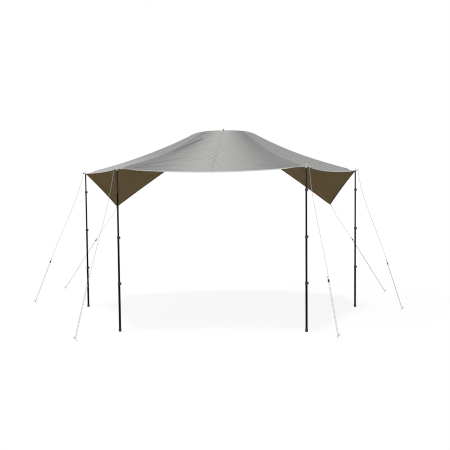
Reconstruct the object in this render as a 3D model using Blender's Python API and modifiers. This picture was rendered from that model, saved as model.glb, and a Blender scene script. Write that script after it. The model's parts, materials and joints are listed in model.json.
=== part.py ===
"""Rooftop tent awning: a canopy held by a tent's arched end, four telescopic poles and six guy lines.

Metres, +Z up. The origin is the middle of the canopy's arched edge, where its centre hook is sewn.
The tent is on the +Y side and the awning reaches out along -Y.
"""
import math

import bmesh
import bpy
import numpy as np
from mathutils import Matrix, Vector

# Cloth: heights above the ground, and places in plan
HOOK_HEIGHT = 2.75
CORNER_HEIGHT = 2.00
ARCH_END_HEIGHT = 2.26
ARCH_HALF_WIDTH = 0.72
ARCH_POWER = 3.2                # 2 would be an ellipse, more is squarer
NEAR_HALF_WIDTH = 1.145
NEAR_REACH = 2.95
OUTER_HALF_WIDTH = 1.99
OUTER_REACH = 1.35
WING_TIP_HALF_WIDTH = 1.737
WING_TIP_REACH = 0.407
WING_TIP_HEIGHT = 1.50
PEG_PLACES = {
    "near_left": (-1.548, -3.421),
    "near_right": (1.469, -3.258),
    "outer_left": (-2.897, -1.057),
    "outer_right": (2.590, -1.622),
    "wing_left": (-2.848, 0.281),
    "wing_right": (2.668, -0.122),
}

# Cloth: thickness, fullness and hems
CANOPY_THICKNESS = 0.0024
WING_THICKNESS = 0.0020
RIDGE_SHARE = 0.33              # of the arch's length, from its end to the ridge seam
SIDE_FAN = 4                    # how strongly the side panels' threads gather at the outer corners
CORNER_TIP = 0.025              # cloth outside each eyelet
CORNER_FLAT = 0.060             # level cloth round each eyelet
CORNER_BLEND = 0.140
CORNER_RINGS = (0.035, 0.075, 0.140)
FAN_RINGS = (0.003, 0.014)      # closer columns where the side panels gather
SIDE_BOW = 0.060
NEAR_BOW = 0.100
LEFT_DIP = 0.008
RIGHT_DIP = 0.034
NEAR_DIP = 0.050
RIDGE_SAG = 0.080
CENTRE_SAG = 0.015
SIDE_SAG = 0.015
SAG_POWER = 0.7                 # below 1, the centre panel is steeper beside its ridges
FOLD_DEPTH = 0.008
FOLD_COUNT = 3
CENTRE_SPANS = 8
SIDE_SPANS = 4
ROW_SPANS = 7
WING_BOW = 0.012
WING_FOLD = 0.007
WING_FOLDS = 3
WING_ROWS = 8
WING_TIP_WIDTH = 0.045

# Corner hardware
EYELET_BORE = 0.0080
EYELET_BARREL = 0.0092
EYELET_FLANGE = 0.0140
FLANGE_THICKNESS = 0.0010
SPIGOT_DOME = 0.0086
SPIGOT_PIN = 0.0045
SPIGOT_HEIGHT = 0.0460
SPIGOT_TIP = 0.55               # flat share of its tip
SPIGOT_SHOULDER = 0.0105
SHOULDER_TOP = 0.0045           # below the ball's centre
COLLAR_BOTTOM = 0.0108
SPIGOT_PLUG = 0.0300            # how far it reaches into tube 1
WEBBING_THICKNESS = 0.0020
TAB_BEND = 0.010
TAB_HOLE = 0.0040
TAB_HOLE_INSET = 0.011
NEAR_TAB = {"width": 0.025, "inner": 0.020, "flat": 0.030, "leg": 0.026, "slope": math.radians(20)}
OUTER_TAB = {"width": 0.034, "inner": 0.022, "flat": 0.029, "leg": 0.019, "slope": math.radians(12)}
WING_TAB = {"width": 0.025, "inner": 0.030, "outer": 0.016}
RING_RADIUS = 0.0090
RING_WIRE = 0.0015

# Arched edge hardware
HOOK_STRIP = 0.0030
HOOK_WIDTH = 0.0120
HOOK_FOOT = 0.0300
HOOK_RISE = 0.0120
HOOK_RADIUS = 0.0090
HOOK_TAIL = 0.0100
HOOK_SEAT_SHARE = 0.01          # of the way out, where the cloth's slope seats a hook
HOOK_AIM_SHARE = 0.05           # of the way out, where a hook's strip points away from
STRAP_TOP = 0.047               # half the V strap's spread at the arched edge
STRAP_WIDTH = 0.012
STRAP_THICKNESS = 0.0012
STRAP_LENGTH = 0.560
STRAP_START = 0.020             # from the arched edge
STRAP_SLIT = 0.001              # half the gap between the V's legs where they meet
STRAP_STEPS = 6
TOGGLE_PLACE = -0.868
TOGGLE_RADIUS = 0.0070
TOGGLE_HEIGHT = 0.0360
TOGGLE_END = 0.6                # flat share of its end
TOGGLE_SHARE = 0.995            # of the way out to the near hem

# Poles: tube 1 is the thin one at the top, tube 4 stands in the foot
TUBE_OD = (0.019, 0.022, 0.025, 0.028)
TUBE_WALL = 0.0012
TUBE_SIDES = 16
CLAMP_TOPS = (1.740, 1.175, 0.610)      # above the ground, on tubes 2, 3 and 4
TUBE_1_LENGTH = 0.610
TUBE_NEST = 0.060                       # of tubes 2 and 3 inside the next when set up
CLAMP_HEIGHT = 0.0310
CLAMP_WALL = 0.0035
CLAMP_CHAMFER = 0.0010
EAR_THICKNESS = 0.0058
EAR_INSET = 0.0006
EAR_RADIUS = 0.0045
HUB_OFFSET = 0.0050
HUB_RADIUS = 0.0040
PIVOT_RADIUS = 0.0015
LEVER_THICKNESS = 0.0030
LEVER_SWEEP = math.radians(118)
LEVER_START = math.radians(13)
LEVER_LIP = 0.0030
LEVER_LIP_START = 0.8           # share of the sweep where the tip starts to flare
LEVER_GAP = 0.0009              # between the blade and the clamp ring
HUB_FROM = math.radians(-60)
HUB_TO = math.radians(215)
FOOT_RADIUS = 0.0175
FOOT_RIM = 0.0160
FOOT_HEIGHT = 0.0400
FOOT_SHOULDER = 0.0320
FOOT_BEVEL = 0.0040
FOOT_FLOOR = 0.0150

# Guy lines
CORD_RADIUS = 0.0020
LOOP_RADIUS = 0.0080
KNOT_RADIUS = 0.0060
TENSIONER = {"width": 0.026, "height": 0.034, "thickness": 0.009, "bore": 0.0025}
TENSIONER_CORNER = 0.0080
TENSIONER_UP = 0.020
TAIL = 0.025
LINE_SAG = {"near": 0.025, "outer": 0.035, "wing": 0.015}
LINE_STATIONS = 9
LOOP_STATIONS = 8
TENSIONER_SHARE = {"near": 0.32, "outer": 0.32, "wing": 0.61}   # of the line, from its peg
PEG_RADIUS = 0.0030
PEG_LEAN = math.radians(30)
PEG_BURIED = 0.170
PEG_HOLD = 0.035
PEG_STEM = 0.055
PEG_HOOK = 0.0090
PEG_TAIL = 0.0120

# Clearances
GAP = 0.0003                    # between pieces that touch or slide
BITE = 0.0003                   # of a pressed or sewn piece in what it is fused with
SOFT_GAP = 0.0008               # under what lies on bent cloth
CUTTER_LENGTH = 0.050           # longer than any hole is deep
ROUND_SIDES = 16
HOLE_SIDES = 12
NORMAL_STEP = 0.004             # of the arch's length, or of the way out
UP = Vector((0, 0, 1))

GROUND = -HOOK_HEIGHT
CORNER_Z = CORNER_HEIGHT - HOOK_HEIGHT
# An eyelet's lower face, the ball seat's centre under it, and the pole's shoulder
EYELET_FACE = CANOPY_THICKNESS / 2 + FLANGE_THICKNESS
SEAT_DROP = math.sqrt((SPIGOT_DOME + GAP) ** 2 - EYELET_BORE ** 2)
PIVOT_Z = CORNER_Z - EYELET_FACE - SEAT_DROP


def plan_corner(name):
    """Where an eyelet is in plan."""
    side = -1 if name.endswith("left") else 1
    if name.startswith("near"):
        return side * NEAR_HALF_WIDTH, -NEAR_REACH
    return side * OUTER_HALF_WIDTH, -OUTER_REACH


def clear_scene():
    for thing in list(bpy.data.objects):
        bpy.data.objects.remove(thing, do_unlink=True)


def make_collection(name):
    collection = bpy.data.collections.new(name)
    bpy.context.scene.collection.children.link(collection)
    return collection


def linear(channel):
    channel = channel / 255
    return channel / 12.92 if channel <= 0.04045 else ((channel + 0.055) / 1.055) ** 2.4


def make_material(name, rgb, roughness, metallic=0.0):
    material = bpy.data.materials.new(name)
    material.use_nodes = True
    shader = material.node_tree.nodes["Principled BSDF"]
    shader.inputs["Base Color"].default_value = (*[linear(c) for c in rgb], 1)
    shader.inputs["Roughness"].default_value = roughness
    shader.inputs["Metallic"].default_value = metallic
    return material


def place(name, data, material, matrix=None, parent=None, collection=None):
    """An object for one sub-part, in the awning's collection unless another is given."""
    thing = bpy.data.objects.new(name, data)
    (collection or PARTS).objects.link(thing)
    if data is not None and material is not None and not data.materials:
        data.materials.append(material)
    thing.parent = parent
    if matrix is not None:
        thing.matrix_local = matrix
    return thing


def frame(origin, x_axis, z_axis):
    """A placement whose X axis is kept and whose Z axis is made square to it."""
    x = Vector(x_axis).normalized()
    z = Vector(z_axis)
    z = (z - x * z.dot(x)).normalized()
    y = z.cross(x)
    matrix = Matrix((x, y, z)).transposed().to_4x4()
    matrix.translation = origin
    return matrix


def mesh_from(name, points, faces):
    mesh = bpy.data.meshes.new(name)
    mesh.from_pydata([tuple(p) for p in points], [], faces)
    mesh.update()
    return mesh


def grid_mesh(name, rows, keep=lambda row, column: True):
    """A surface through rows of points; keep says which of its cells have a face."""
    wide = len(rows[0])
    points = [p for row in rows for p in row]
    faces = []
    for r in range(len(rows) - 1):
        for c in range(wide - 1):
            if keep(r, c):
                first = r * wide + c
                faces.append((first, first + 1, first + wide + 1, first + wide))
    return mesh_from(name, points, faces)


def finished(thing):
    """The object's evaluated mesh with its modifiers in it and its seams welded."""
    depsgraph = bpy.context.evaluated_depsgraph_get()
    mesh = bpy.data.meshes.new_from_object(thing.evaluated_get(depsgraph))
    work = bmesh.new()
    work.from_mesh(mesh)
    bmesh.ops.remove_doubles(work, verts=work.verts, dist=1e-6)
    work.to_mesh(mesh)
    work.free()
    mesh.name = thing.name
    bpy.data.objects.remove(thing, do_unlink=True)
    return mesh


def cylinder_mesh(name, radius, height, sides):
    work = bmesh.new()
    bmesh.ops.create_cone(work, cap_ends=True, segments=sides, radius1=radius, radius2=radius, depth=height)
    mesh = bpy.data.meshes.new(name)
    work.to_mesh(mesh)
    work.free()
    return mesh


def turned_mesh(name, profile, sides):
    """A solid of revolution about Z; the profile runs down its outer side."""
    closed = profile[0][0] > 0
    edges = [(i, i + 1) for i in range(len(profile) - 1)]
    if closed:
        edges.append((len(profile) - 1, 0))
    mesh = bpy.data.meshes.new(name)
    mesh.from_pydata([(r, 0, z) for r, z in profile], edges, [])
    thing = place(name, mesh, None, collection=CUTTERS)
    screw = thing.modifiers.new("turn", "SCREW")
    screw.steps = screw.render_steps = sides
    screw.use_merge_vertices = True
    screw.merge_threshold = 1e-6
    return finished(thing)


def plate_mesh(name, outline, thickness):
    """A flat outline in XY, thick about its own plane."""
    curve = bpy.data.curves.new(name, "CURVE")
    curve.dimensions = "2D"
    curve.fill_mode = "BOTH"
    curve.extrude = thickness / 2
    spline = curve.splines.new("POLY")
    spline.points.add(len(outline) - 1)
    for point, (x, y) in zip(spline.points, outline):
        point.co = (x, y, 0, 1)
    spline.use_cyclic_u = True
    return finished(place(name, curve, None, collection=CUTTERS))


def wire_curve(name, path, radius):
    """Round wire or cord along a path, with filled ends."""
    curve = bpy.data.curves.new(name, "CURVE")
    curve.dimensions = "3D"
    curve.bevel_depth = radius
    curve.bevel_resolution = 2
    curve.use_fill_caps = True
    spline = curve.splines.new("POLY")
    spline.points.add(len(path) - 1)
    for point, spot in zip(spline.points, path):
        point.co = (*spot, 1)
    return curve


def solidify(thing, thickness):
    modifier = thing.modifiers.new("thickness", "SOLIDIFY")
    modifier.thickness = thickness
    modifier.offset = 0
    return modifier


def boolean(thing, other_mesh, matrix, operation):
    """Cut or join a helper solid, which stays in the cutters' collection."""
    helper = place(f"{thing.name}_{other_mesh.name}", other_mesh, None, matrix, collection=CUTTERS)
    helper.display_type = "WIRE"
    helper.hide_render = True
    modifier = thing.modifiers.new(other_mesh.name, "BOOLEAN")
    modifier.operation = operation
    modifier.object = helper


def arc(centre, radius, start, end, count):
    """Points on an arc in a plane, as pairs."""
    angles = np.linspace(start, end, count)
    return [(centre[0] + radius * math.cos(a), centre[1] + radius * math.sin(a)) for a in angles]


def arch_table():
    """Finely spaced points on the arched edge and the share of its length at each."""
    angle = np.linspace(math.pi, 0, 721)
    x = ARCH_HALF_WIDTH * np.sign(np.cos(angle)) * np.abs(np.cos(angle)) ** (2 / ARCH_POWER)
    rise = HOOK_HEIGHT - ARCH_END_HEIGHT
    z = rise * (np.abs(np.sin(angle)) ** (2 / ARCH_POWER) - 1)
    steps = np.hypot(np.diff(x), np.diff(z))
    share = np.concatenate(([0], np.cumsum(steps))) / steps.sum()
    return share, x, z


def edge_corners():
    """Tips of the cloth outside the four eyelets, round the outer edge from left to right."""
    ends = Vector((-ARCH_HALF_WIDTH, 0)), Vector((ARCH_HALF_WIDTH, 0))
    eyelets = [Vector(plan_corner(n)) for n in ("outer_left", "near_left", "near_right", "outer_right")]
    ring = [ends[0], *eyelets, ends[1]]
    tips = []
    for before, eyelet, after in zip(ring, ring[1:], ring[2:]):
        inward = ((before - eyelet).normalized() + (after - eyelet).normalized()).normalized()
        tips.append(eyelet - inward * CORNER_TIP)
    return tips


ARCH = arch_table()
TIPS = edge_corners()


def smooth_share(value):
    value = min(max(value, 0.0), 1.0)
    return value * value * (3 - 2 * value)


def arch_share(around):
    """Share of the arch's length where a thread of the cloth starts; around runs 0 to 3."""
    if around < 1:
        return RIDGE_SHARE * around ** (1 / SIDE_FAN)
    if around > 2:
        return 1 - RIDGE_SHARE * (3 - around) ** (1 / SIDE_FAN)
    return RIDGE_SHARE + (1 - 2 * RIDGE_SHARE) * (around - 1)


def around_at(share):
    """The thread that starts at a share of the arch's length."""
    if share < RIDGE_SHARE:
        return (share / RIDGE_SHARE) ** SIDE_FAN
    if share > 1 - RIDGE_SHARE:
        return 3 - ((1 - share) / RIDGE_SHARE) ** SIDE_FAN
    return 1 + (share - RIDGE_SHARE) / (1 - 2 * RIDGE_SHARE)


def canopy_point(around, out):
    """The canopy's middle surface.

    around runs 0 to 3 over the left, centre and right panels; out runs 0 at the arch to 1 at the edge.
    """
    panel = min(int(around), 2)
    across = around - panel
    share = arch_share(around)
    arch = Vector((np.interp(share, ARCH[0], ARCH[1]), 0, np.interp(share, ARCH[0], ARCH[2])))
    run = TIPS[panel + 1] - TIPS[panel]
    hollow = 4 * across * (1 - across)
    inward = Vector((-run.y, run.x)).normalized()
    dip = (LEFT_DIP, NEAR_DIP, RIGHT_DIP)[panel]
    bow = (SIDE_BOW, NEAR_BOW, SIDE_BOW)[panel]
    belly = (SIDE_SAG, CENTRE_SAG - RIDGE_SAG, SIDE_SAG)[panel] * hollow ** (1, SAG_POWER, 1)[panel]
    sag = RIDGE_SAG * math.sqrt((across, 1, 1 - across)[panel]) + belly
    plan = TIPS[panel] + run * across + inward * bow * hollow
    edge = Vector((plan.x, plan.y, CORNER_Z - dip * hollow))
    point = arch.lerp(edge, out)
    fold = FOLD_DEPTH * math.cos(2 * math.pi * FOLD_COUNT * across) * hollow
    point.z -= math.sin(math.pi * out) * (sag + fold)
    for name in POLES:
        x, y = plan_corner(name)
        away = math.hypot(point.x - x, point.y - y)
        level = smooth_share((CORNER_BLEND - away) / (CORNER_BLEND - CORNER_FLAT))
        point.z += (CORNER_Z - point.z) * level
    return point


def canopy_normal(around, out):
    """Unit normal of the canopy's middle surface, on its upper side."""
    low, high = max(out - NORMAL_STEP, 0), min(out + NORMAL_STEP, 1)
    along = canopy_point(around, high) - canopy_point(around, low)
    share = arch_share(around)
    first = around_at(max(share - NORMAL_STEP, 0))
    second = around_at(min(share + NORMAL_STEP, 1))
    across = canopy_point(second, out) - canopy_point(first, out)
    normal = across.cross(along)
    return normal.normalized() if normal.z > 0 else -normal.normalized()


def panel_stations(length, spans, first=(), last=()):
    """Shares of a panel's width: even spans, closer together in the level corners."""
    start = np.array((0, *first, *CORNER_RINGS)) / length
    end = np.array((0, *last, *CORNER_RINGS)) / length
    even = np.linspace(start[-1], 1 - end[-1], spans + 1)
    return [*start[:-1], *even, *(1 - end[-2::-1])]


def canopy_rows():
    """Shares of the way from the arch to the edge."""
    length = math.hypot(NEAR_REACH, HOOK_HEIGHT - CORNER_HEIGHT)
    close = np.array((0, *CORNER_RINGS)) / length
    return [*np.linspace(0, 1 - close[-1], ROW_SPANS + 1), *(1 - close[-2::-1])]


def canopy_columns():
    side, centre = (TIPS[1] - TIPS[0]).length, (TIPS[2] - TIPS[1]).length
    panels = (panel_stations(side, SIDE_SPANS, first=FAN_RINGS), panel_stations(centre, CENTRE_SPANS),
              panel_stations(side, SIDE_SPANS, last=FAN_RINGS))
    columns = [panel + share for panel, shares in enumerate(panels) for share in shares[:-1]]
    return [*columns, 3.0]


def eyelet_mesh():
    """Two flanges on a barrel, which bite a little into the cloth."""
    inner = CANOPY_THICKNESS / 2 - BITE
    profile = [(EYELET_BORE, EYELET_FACE), (EYELET_FLANGE, EYELET_FACE), (EYELET_FLANGE, inner),
               (EYELET_BARREL, inner), (EYELET_BARREL, -inner), (EYELET_FLANGE, -inner),
               (EYELET_FLANGE, -EYELET_FACE), (EYELET_BORE, -EYELET_FACE)]
    return turned_mesh("eyelet", profile, ROUND_SIDES)


def build_canopy():
    """The sewn sheet with its four pressed eyelets."""
    rows = [[canopy_point(c, r) for c in canopy_columns()] for r in canopy_rows()]
    canopy = place("canopy", grid_mesh("canopy", rows), CANOPY_CLOTH)
    solidify(canopy, CANOPY_THICKNESS)
    hole = cylinder_mesh("eyelet_hole", (EYELET_BORE + EYELET_BARREL) / 2, CUTTER_LENGTH, ROUND_SIDES)
    eyelet = eyelet_mesh()
    for name in POLES:
        spot = Matrix.Translation((*plan_corner(name), CORNER_Z))
        boolean(canopy, hole, spot, "DIFFERENCE")
        boolean(canopy, eyelet, spot, "UNION")


def wing_frame(side):
    """The tip of a wing and the unit normal of its cloth, on its outer face."""
    tip = Vector((side * WING_TIP_HALF_WIDTH, -WING_TIP_REACH, WING_TIP_HEIGHT - HOOK_HEIGHT))
    around = 0 if side < 0 else 3
    arch_end, corner = canopy_point(around, 0), canopy_point(around, 1)
    normal = (corner - arch_end).cross(tip - arch_end).normalized()
    return tip, normal if normal.z > 0 else -normal


def wing_point(side, out, down):
    """A wing's middle surface: out runs along the seam, down from the seam to the tip."""
    tip, normal = wing_frame(side)
    around = 0 if side < 0 else 3
    seam = canopy_point(around, out)
    run = (canopy_point(around, 1) - canopy_point(around, 0)).normalized()
    fall = normal.cross(run)
    fall = fall if fall.z < 0 else -fall
    start = seam + fall * (CANOPY_THICKNESS / 2 + GAP)
    end = tip + run * WING_TIP_WIDTH * (out - 0.5)
    hollow = 4 * down * (1 - down)
    point = start.lerp(end, down)
    point += run * WING_BOW * hollow * (1 - 2 * out)
    wave = math.sin(math.pi * WING_FOLDS * out) * math.sin(math.pi * down)
    return point + normal * WING_FOLD * wave * hollow


def tip_webbing(name):
    """Placement of the webbing sewn on a wing's tip, its hole, its ring's centre and its line's knot."""
    side = -1 if name.endswith("left") else 1
    tip, normal = wing_frame(side)
    line = Vector((*PEG_PLACES[name], GROUND)) - tip
    rise = WING_THICKNESS / 2 - BITE + WEBBING_THICKNESS / 2
    placement = frame(tip + normal * rise, line - normal * line.dot(normal), normal)
    hole = WING_TAB["outer"] - RING_RADIUS + RING_WIRE
    ring = hole + TAB_HOLE - RING_WIRE - GAP + RING_RADIUS
    reach = ring + RING_RADIUS + RING_WIRE + GAP + KNOT_RADIUS
    return placement, hole, ring, placement @ Vector((reach, 0, 0))


def tip_webbing_mesh(hole_place):
    half = WING_TAB["width"] / 2
    rows = [[(x, y, 0) for x in (-WING_TAB["inner"], WING_TAB["outer"])] for y in (-half, half)]
    strip = place("tip_webbing", grid_mesh("tip_webbing", rows), None, collection=CUTTERS)
    solidify(strip, WEBBING_THICKNESS)
    hole = cylinder_mesh("ring_hole", TAB_HOLE, CUTTER_LENGTH, HOLE_SIDES)
    boolean(strip, hole, Matrix.Translation((hole_place, 0, 0)), "DIFFERENCE")
    return finished(strip)


def build_wings():
    """The two side wings, each with the webbing and the ring at its tip."""
    bpy.ops.mesh.primitive_torus_add(major_radius=RING_RADIUS, minor_radius=RING_WIRE,
                                     major_segments=14, minor_segments=6)
    ring = finished(bpy.context.object)
    for side, name in ((-1, "wing_left"), (1, "wing_right")):
        rows = [[wing_point(side, out, r / WING_ROWS) for out in canopy_rows()[:-1]]
                for r in range(WING_ROWS + 1)]
        wing = place(name, grid_mesh(name, rows), WING_CLOTH)
        solidify(wing, WING_THICKNESS)
        placement, hole, ring_centre, knot = tip_webbing(name)
        boolean(wing, tip_webbing_mesh(hole), placement, "UNION")
        turn = Matrix.Translation((ring_centre, 0, 0)) @ Matrix.Rotation(math.pi / 2, 4, "X")
        place(f"{name}_ring", ring, STEEL, placement @ turn)


def line_outward(name):
    """Horizontal direction from a corner to its peg."""
    x, y = plan_corner(name)
    peg_x, peg_y = PEG_PLACES[name]
    return Vector((peg_x - x, peg_y - y, 0)).normalized()


def tab_path(tab):
    """A corner tab's middle line, outward and up from the eyelet, and the place of its hole."""
    slope = tab["slope"]
    bend = [(tab["flat"] + TAB_BEND * math.sin(a), TAB_BEND * (math.cos(a) - 1))
            for a in np.linspace(0, slope, 4)]
    leg = Vector((math.cos(slope), -math.sin(slope)))
    end = Vector(bend[-1]) + leg * tab["leg"]
    return [(-tab["inner"], 0), *bend, tuple(end)], end - leg * TAB_HOLE_INSET


def tab_frame(name):
    height = CORNER_Z + EYELET_FACE + GAP + WEBBING_THICKNESS / 2
    return frame(Vector((*plan_corner(name), height)), line_outward(name), UP)


def build_corner_tabs():
    pin_hole = cylinder_mesh("pin_hole", EYELET_BORE, CUTTER_LENGTH, ROUND_SIDES)
    cord_hole = cylinder_mesh("cord_hole", TAB_HOLE, CUTTER_LENGTH, HOLE_SIDES)
    for kind, tab, material in (("near", NEAR_TAB, PALE_WEBBING), ("outer", OUTER_TAB, DARK_WEBBING)):
        path, hole = tab_path(tab)
        rows = [[(x, y, z) for x, z in path] for y in (-tab["width"] / 2, tab["width"] / 2)]
        strip = place(f"{kind}_strip", grid_mesh(f"{kind}_strip", rows), None, collection=CUTTERS)
        solidify(strip, WEBBING_THICKNESS)
        boolean(strip, pin_hole, Matrix.Identity(4), "DIFFERENCE")
        turn = Matrix.Rotation(tab["slope"], 4, "Y")
        boolean(strip, cord_hole, Matrix.Translation((hole.x, 0, hole.y)) @ turn, "DIFFERENCE")
        mesh = finished(strip)
        for side in ("left", "right"):
            place(f"{kind}_{side}_tab", mesh, material, tab_frame(f"{kind}_{side}"))


def ribbon(path, thickness):
    """Outline of a strip of even thickness along a flat path."""
    points = np.array(path)
    along = np.gradient(points, axis=0)
    along /= np.linalg.norm(along, axis=1)[:, None]
    square = np.column_stack((-along[:, 1], along[:, 0])) * thickness / 2
    return [tuple(p) for p in np.vstack((points + square, (points - square)[::-1]))]


def build_tent_hooks():
    """Strip hooks that sit on the cloth and reach back over the tent's rim."""
    bend = HOOK_STRIP
    path = [(-HOOK_FOOT, 0), (-bend, 0)]
    path += arc((-bend, bend), bend, -math.pi / 2, 0, 4)[1:]
    path += arc((HOOK_RADIUS, HOOK_RISE), HOOK_RADIUS, math.pi, 0, 8)
    path.append((2 * HOOK_RADIUS, HOOK_RISE - HOOK_TAIL))
    flat = plate_mesh("tent_hook", ribbon(path, HOOK_STRIP), HOOK_WIDTH)
    upright = Matrix.Rotation(math.pi / 2, 4, "X")
    low = canopy_columns()[1]
    for name, around in (("left_clip", low), ("centre_hook", 1.5), ("right_clip", 3 - low)):
        normal = canopy_normal(around, HOOK_SEAT_SHARE)
        into = canopy_point(around, HOOK_AIM_SHARE) - canopy_point(around, 0)
        rest = CANOPY_THICKNESS / 2 + SOFT_GAP + HOOK_STRIP / 2
        seat = canopy_point(around, 0) + normal * rest
        place(name, flat, DARK_PLASTIC, frame(seat, -into, normal) @ upright)


def build_centre_strap():
    """V of webbing sewn over the centre seam, from the arched edge outward."""
    length = math.hypot(NEAR_REACH, HOOK_HEIGHT - CORNER_HEIGHT)
    rest = CANOPY_THICKNESS / 2 + SOFT_GAP + STRAP_THICKNESS / 2
    rows = []
    for step in range(STRAP_STEPS + 1):
        out = (STRAP_START + STRAP_LENGTH * step / STRAP_STEPS) / length
        spread = max(STRAP_TOP * (1 - step / (STRAP_STEPS - 1)), 0.0)
        half = abs(canopy_point(2, out).x)
        row = []
        for offset in (-spread - STRAP_WIDTH, -spread - STRAP_SLIT, spread + STRAP_SLIT, spread + STRAP_WIDTH):
            around = 1.5 + offset / (2 * half)
            row.append(canopy_point(around, out) + canopy_normal(around, out) * rest)
        rows.append(row)
    strap = grid_mesh("centre_strap", rows, lambda row, column: column != 1 or row == STRAP_STEPS - 1)
    solidify(place("centre_strap", strap, PALE_WEBBING), STRAP_THICKNESS)


def build_toggle():
    """Barrel toggle under the near hem."""
    around = 1 + (TOGGLE_PLACE + NEAR_HALF_WIDTH) / (2 * NEAR_HALF_WIDTH)
    end = TOGGLE_RADIUS * TOGGLE_END
    profile = [(0, 0), (end, 0), *[(r, z - TOGGLE_RADIUS) for r, z in
               arc((end, 0), TOGGLE_RADIUS - end, math.pi / 2, 0, 3)][1:]]
    profile += [(TOGGLE_RADIUS, -TOGGLE_HEIGHT + TOGGLE_RADIUS), (end, -TOGGLE_HEIGHT), (0, -TOGGLE_HEIGHT)]
    top = canopy_point(around, TOGGLE_SHARE) - UP * (CANOPY_THICKNESS / 2 + SOFT_GAP)
    place("hem_toggle", turned_mesh("hem_toggle", profile, HOLE_SIDES), DARK_PLASTIC, Matrix.Translation(top))


def spigot_profile():
    """Outside of the spigot: a rounded pin on a ball seat over a shoulder; the ball's centre is at 0."""
    tip = SPIGOT_PIN * SPIGOT_TIP
    meet = math.asin(SPIGOT_PIN / SPIGOT_DOME)
    low = math.acos(-(SHOULDER_TOP - GAP) / SPIGOT_DOME)
    ball = [(SPIGOT_DOME * math.sin(a), SPIGOT_DOME * math.cos(a)) for a in np.linspace(meet, low, 6)]
    return [(0, SPIGOT_HEIGHT), (tip, SPIGOT_HEIGHT), (SPIGOT_PIN, SPIGOT_HEIGHT - tip), *ball,
            (SPIGOT_SHOULDER, -SHOULDER_TOP), (SPIGOT_SHOULDER, -COLLAR_BOTTOM)]


def clamp_radius(tube):
    return TUBE_OD[tube - 1] / 2 + CLAMP_WALL


def tube_span(tube):
    """A tube's top and bottom above the ground when the pole is set up."""
    tops = (PIVOT_Z - COLLAR_BOTTOM - GROUND, *CLAMP_TOPS)
    if tube == 1:
        return tops[0], tops[0] - TUBE_1_LENGTH
    if tube == 4:
        return tops[3], 0.0
    return tops[tube - 1], tops[tube] - TUBE_NEST


def tube_mesh(tube):
    """A tube about its own top; tube 1 holds the spigot, tube 4 stands in the foot.

    Tubes 2 to 4 carry a clamp ring, its ears and the lever's pivot.
    """
    top, bottom = tube_span(tube)
    length = top - bottom
    outer = TUBE_OD[tube - 1] / 2
    bore = outer - TUBE_WALL
    name = f"tube_{tube}"
    if tube == 1:
        spigot = [(r, z + COLLAR_BOTTOM) for r, z in spigot_profile()]
        return turned_mesh(name, [*spigot, (outer, 0), (outer, -length), (bore, -length),
                                  (bore, -SPIGOT_PLUG), (0, -SPIGOT_PLUG)], TUBE_SIDES)
    ring = clamp_radius(tube)
    profile = [(bore, 0), (ring - CLAMP_CHAMFER, 0), (ring, -CLAMP_CHAMFER),
               (ring, CLAMP_CHAMFER - CLAMP_HEIGHT), (ring - CLAMP_CHAMFER, -CLAMP_HEIGHT),
               (outer, -CLAMP_HEIGHT)]
    if tube == 4:
        profile = [(0, FOOT_FLOOR - length), (bore, FOOT_FLOOR - length), *profile,
                   (outer, FOOT_HEIGHT - length), (FOOT_RIM, FOOT_HEIGHT - length),
                   (FOOT_RADIUS, FOOT_SHOULDER - length), (FOOT_RADIUS, FOOT_BEVEL - length),
                   (FOOT_RIM, -length), (0, -length)]
    else:
        profile += [(outer, -length), (bore, -length)]
    body = place(name, turned_mesh(name, profile, TUBE_SIDES), None, collection=CUTTERS)
    hub = ring + HUB_OFFSET
    root = ring - CLAMP_WALL / 2
    outline = [(root, -EAR_RADIUS), *arc((hub, 0), EAR_RADIUS, -math.pi / 2, math.pi / 2, 7),
               (root, EAR_RADIUS)]
    ear = plate_mesh("ear", outline, EAR_THICKNESS)
    first = -EAR_INSET - EAR_THICKNESS / 2
    for height in (first, -CLAMP_HEIGHT - first):
        boolean(body, ear, Matrix.Translation((0, 0, height)), "UNION")
    pivot = cylinder_mesh("pivot", PIVOT_RADIUS, CLAMP_HEIGHT - 2 * EAR_INSET - EAR_THICKNESS, 8)
    boolean(body, pivot, Matrix.Translation((hub, 0, -CLAMP_HEIGHT / 2)), "UNION")
    return finished(body)


def lever_mesh(tube):
    """A cam lever about its pivot: a hub, and a blade that wraps the clamp ring's front."""
    ring = clamp_radius(tube)
    centre = (-ring - HUB_OFFSET, 0)
    inner = ring + LEVER_GAP

    def blade(base, angles):
        points = []
        for angle in angles:
            lip = max(0, (angle / LEVER_SWEEP - LEVER_LIP_START) / (1 - LEVER_LIP_START))
            points += arc(centre, base + LEVER_LIP * lip * lip, -angle, -angle, 1)
        return points

    angles = np.linspace(LEVER_START, LEVER_SWEEP, 9)
    outline = arc((0, 0), HUB_RADIUS, HUB_FROM, HUB_TO, 9)
    outline += blade(inner, angles)
    outline += blade(inner + LEVER_THICKNESS, angles[::-1])
    height = CLAMP_HEIGHT - 2 * (EAR_INSET + EAR_THICKNESS + GAP)
    lever = place("lever", plate_mesh("lever", outline, height), None, collection=CUTTERS)
    bore = cylinder_mesh("pivot_bore", PIVOT_RADIUS + GAP, CUTTER_LENGTH, HOLE_SIDES)
    boolean(lever, bore, Matrix.Identity(4), "DIFFERENCE")
    return finished(lever)


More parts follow.
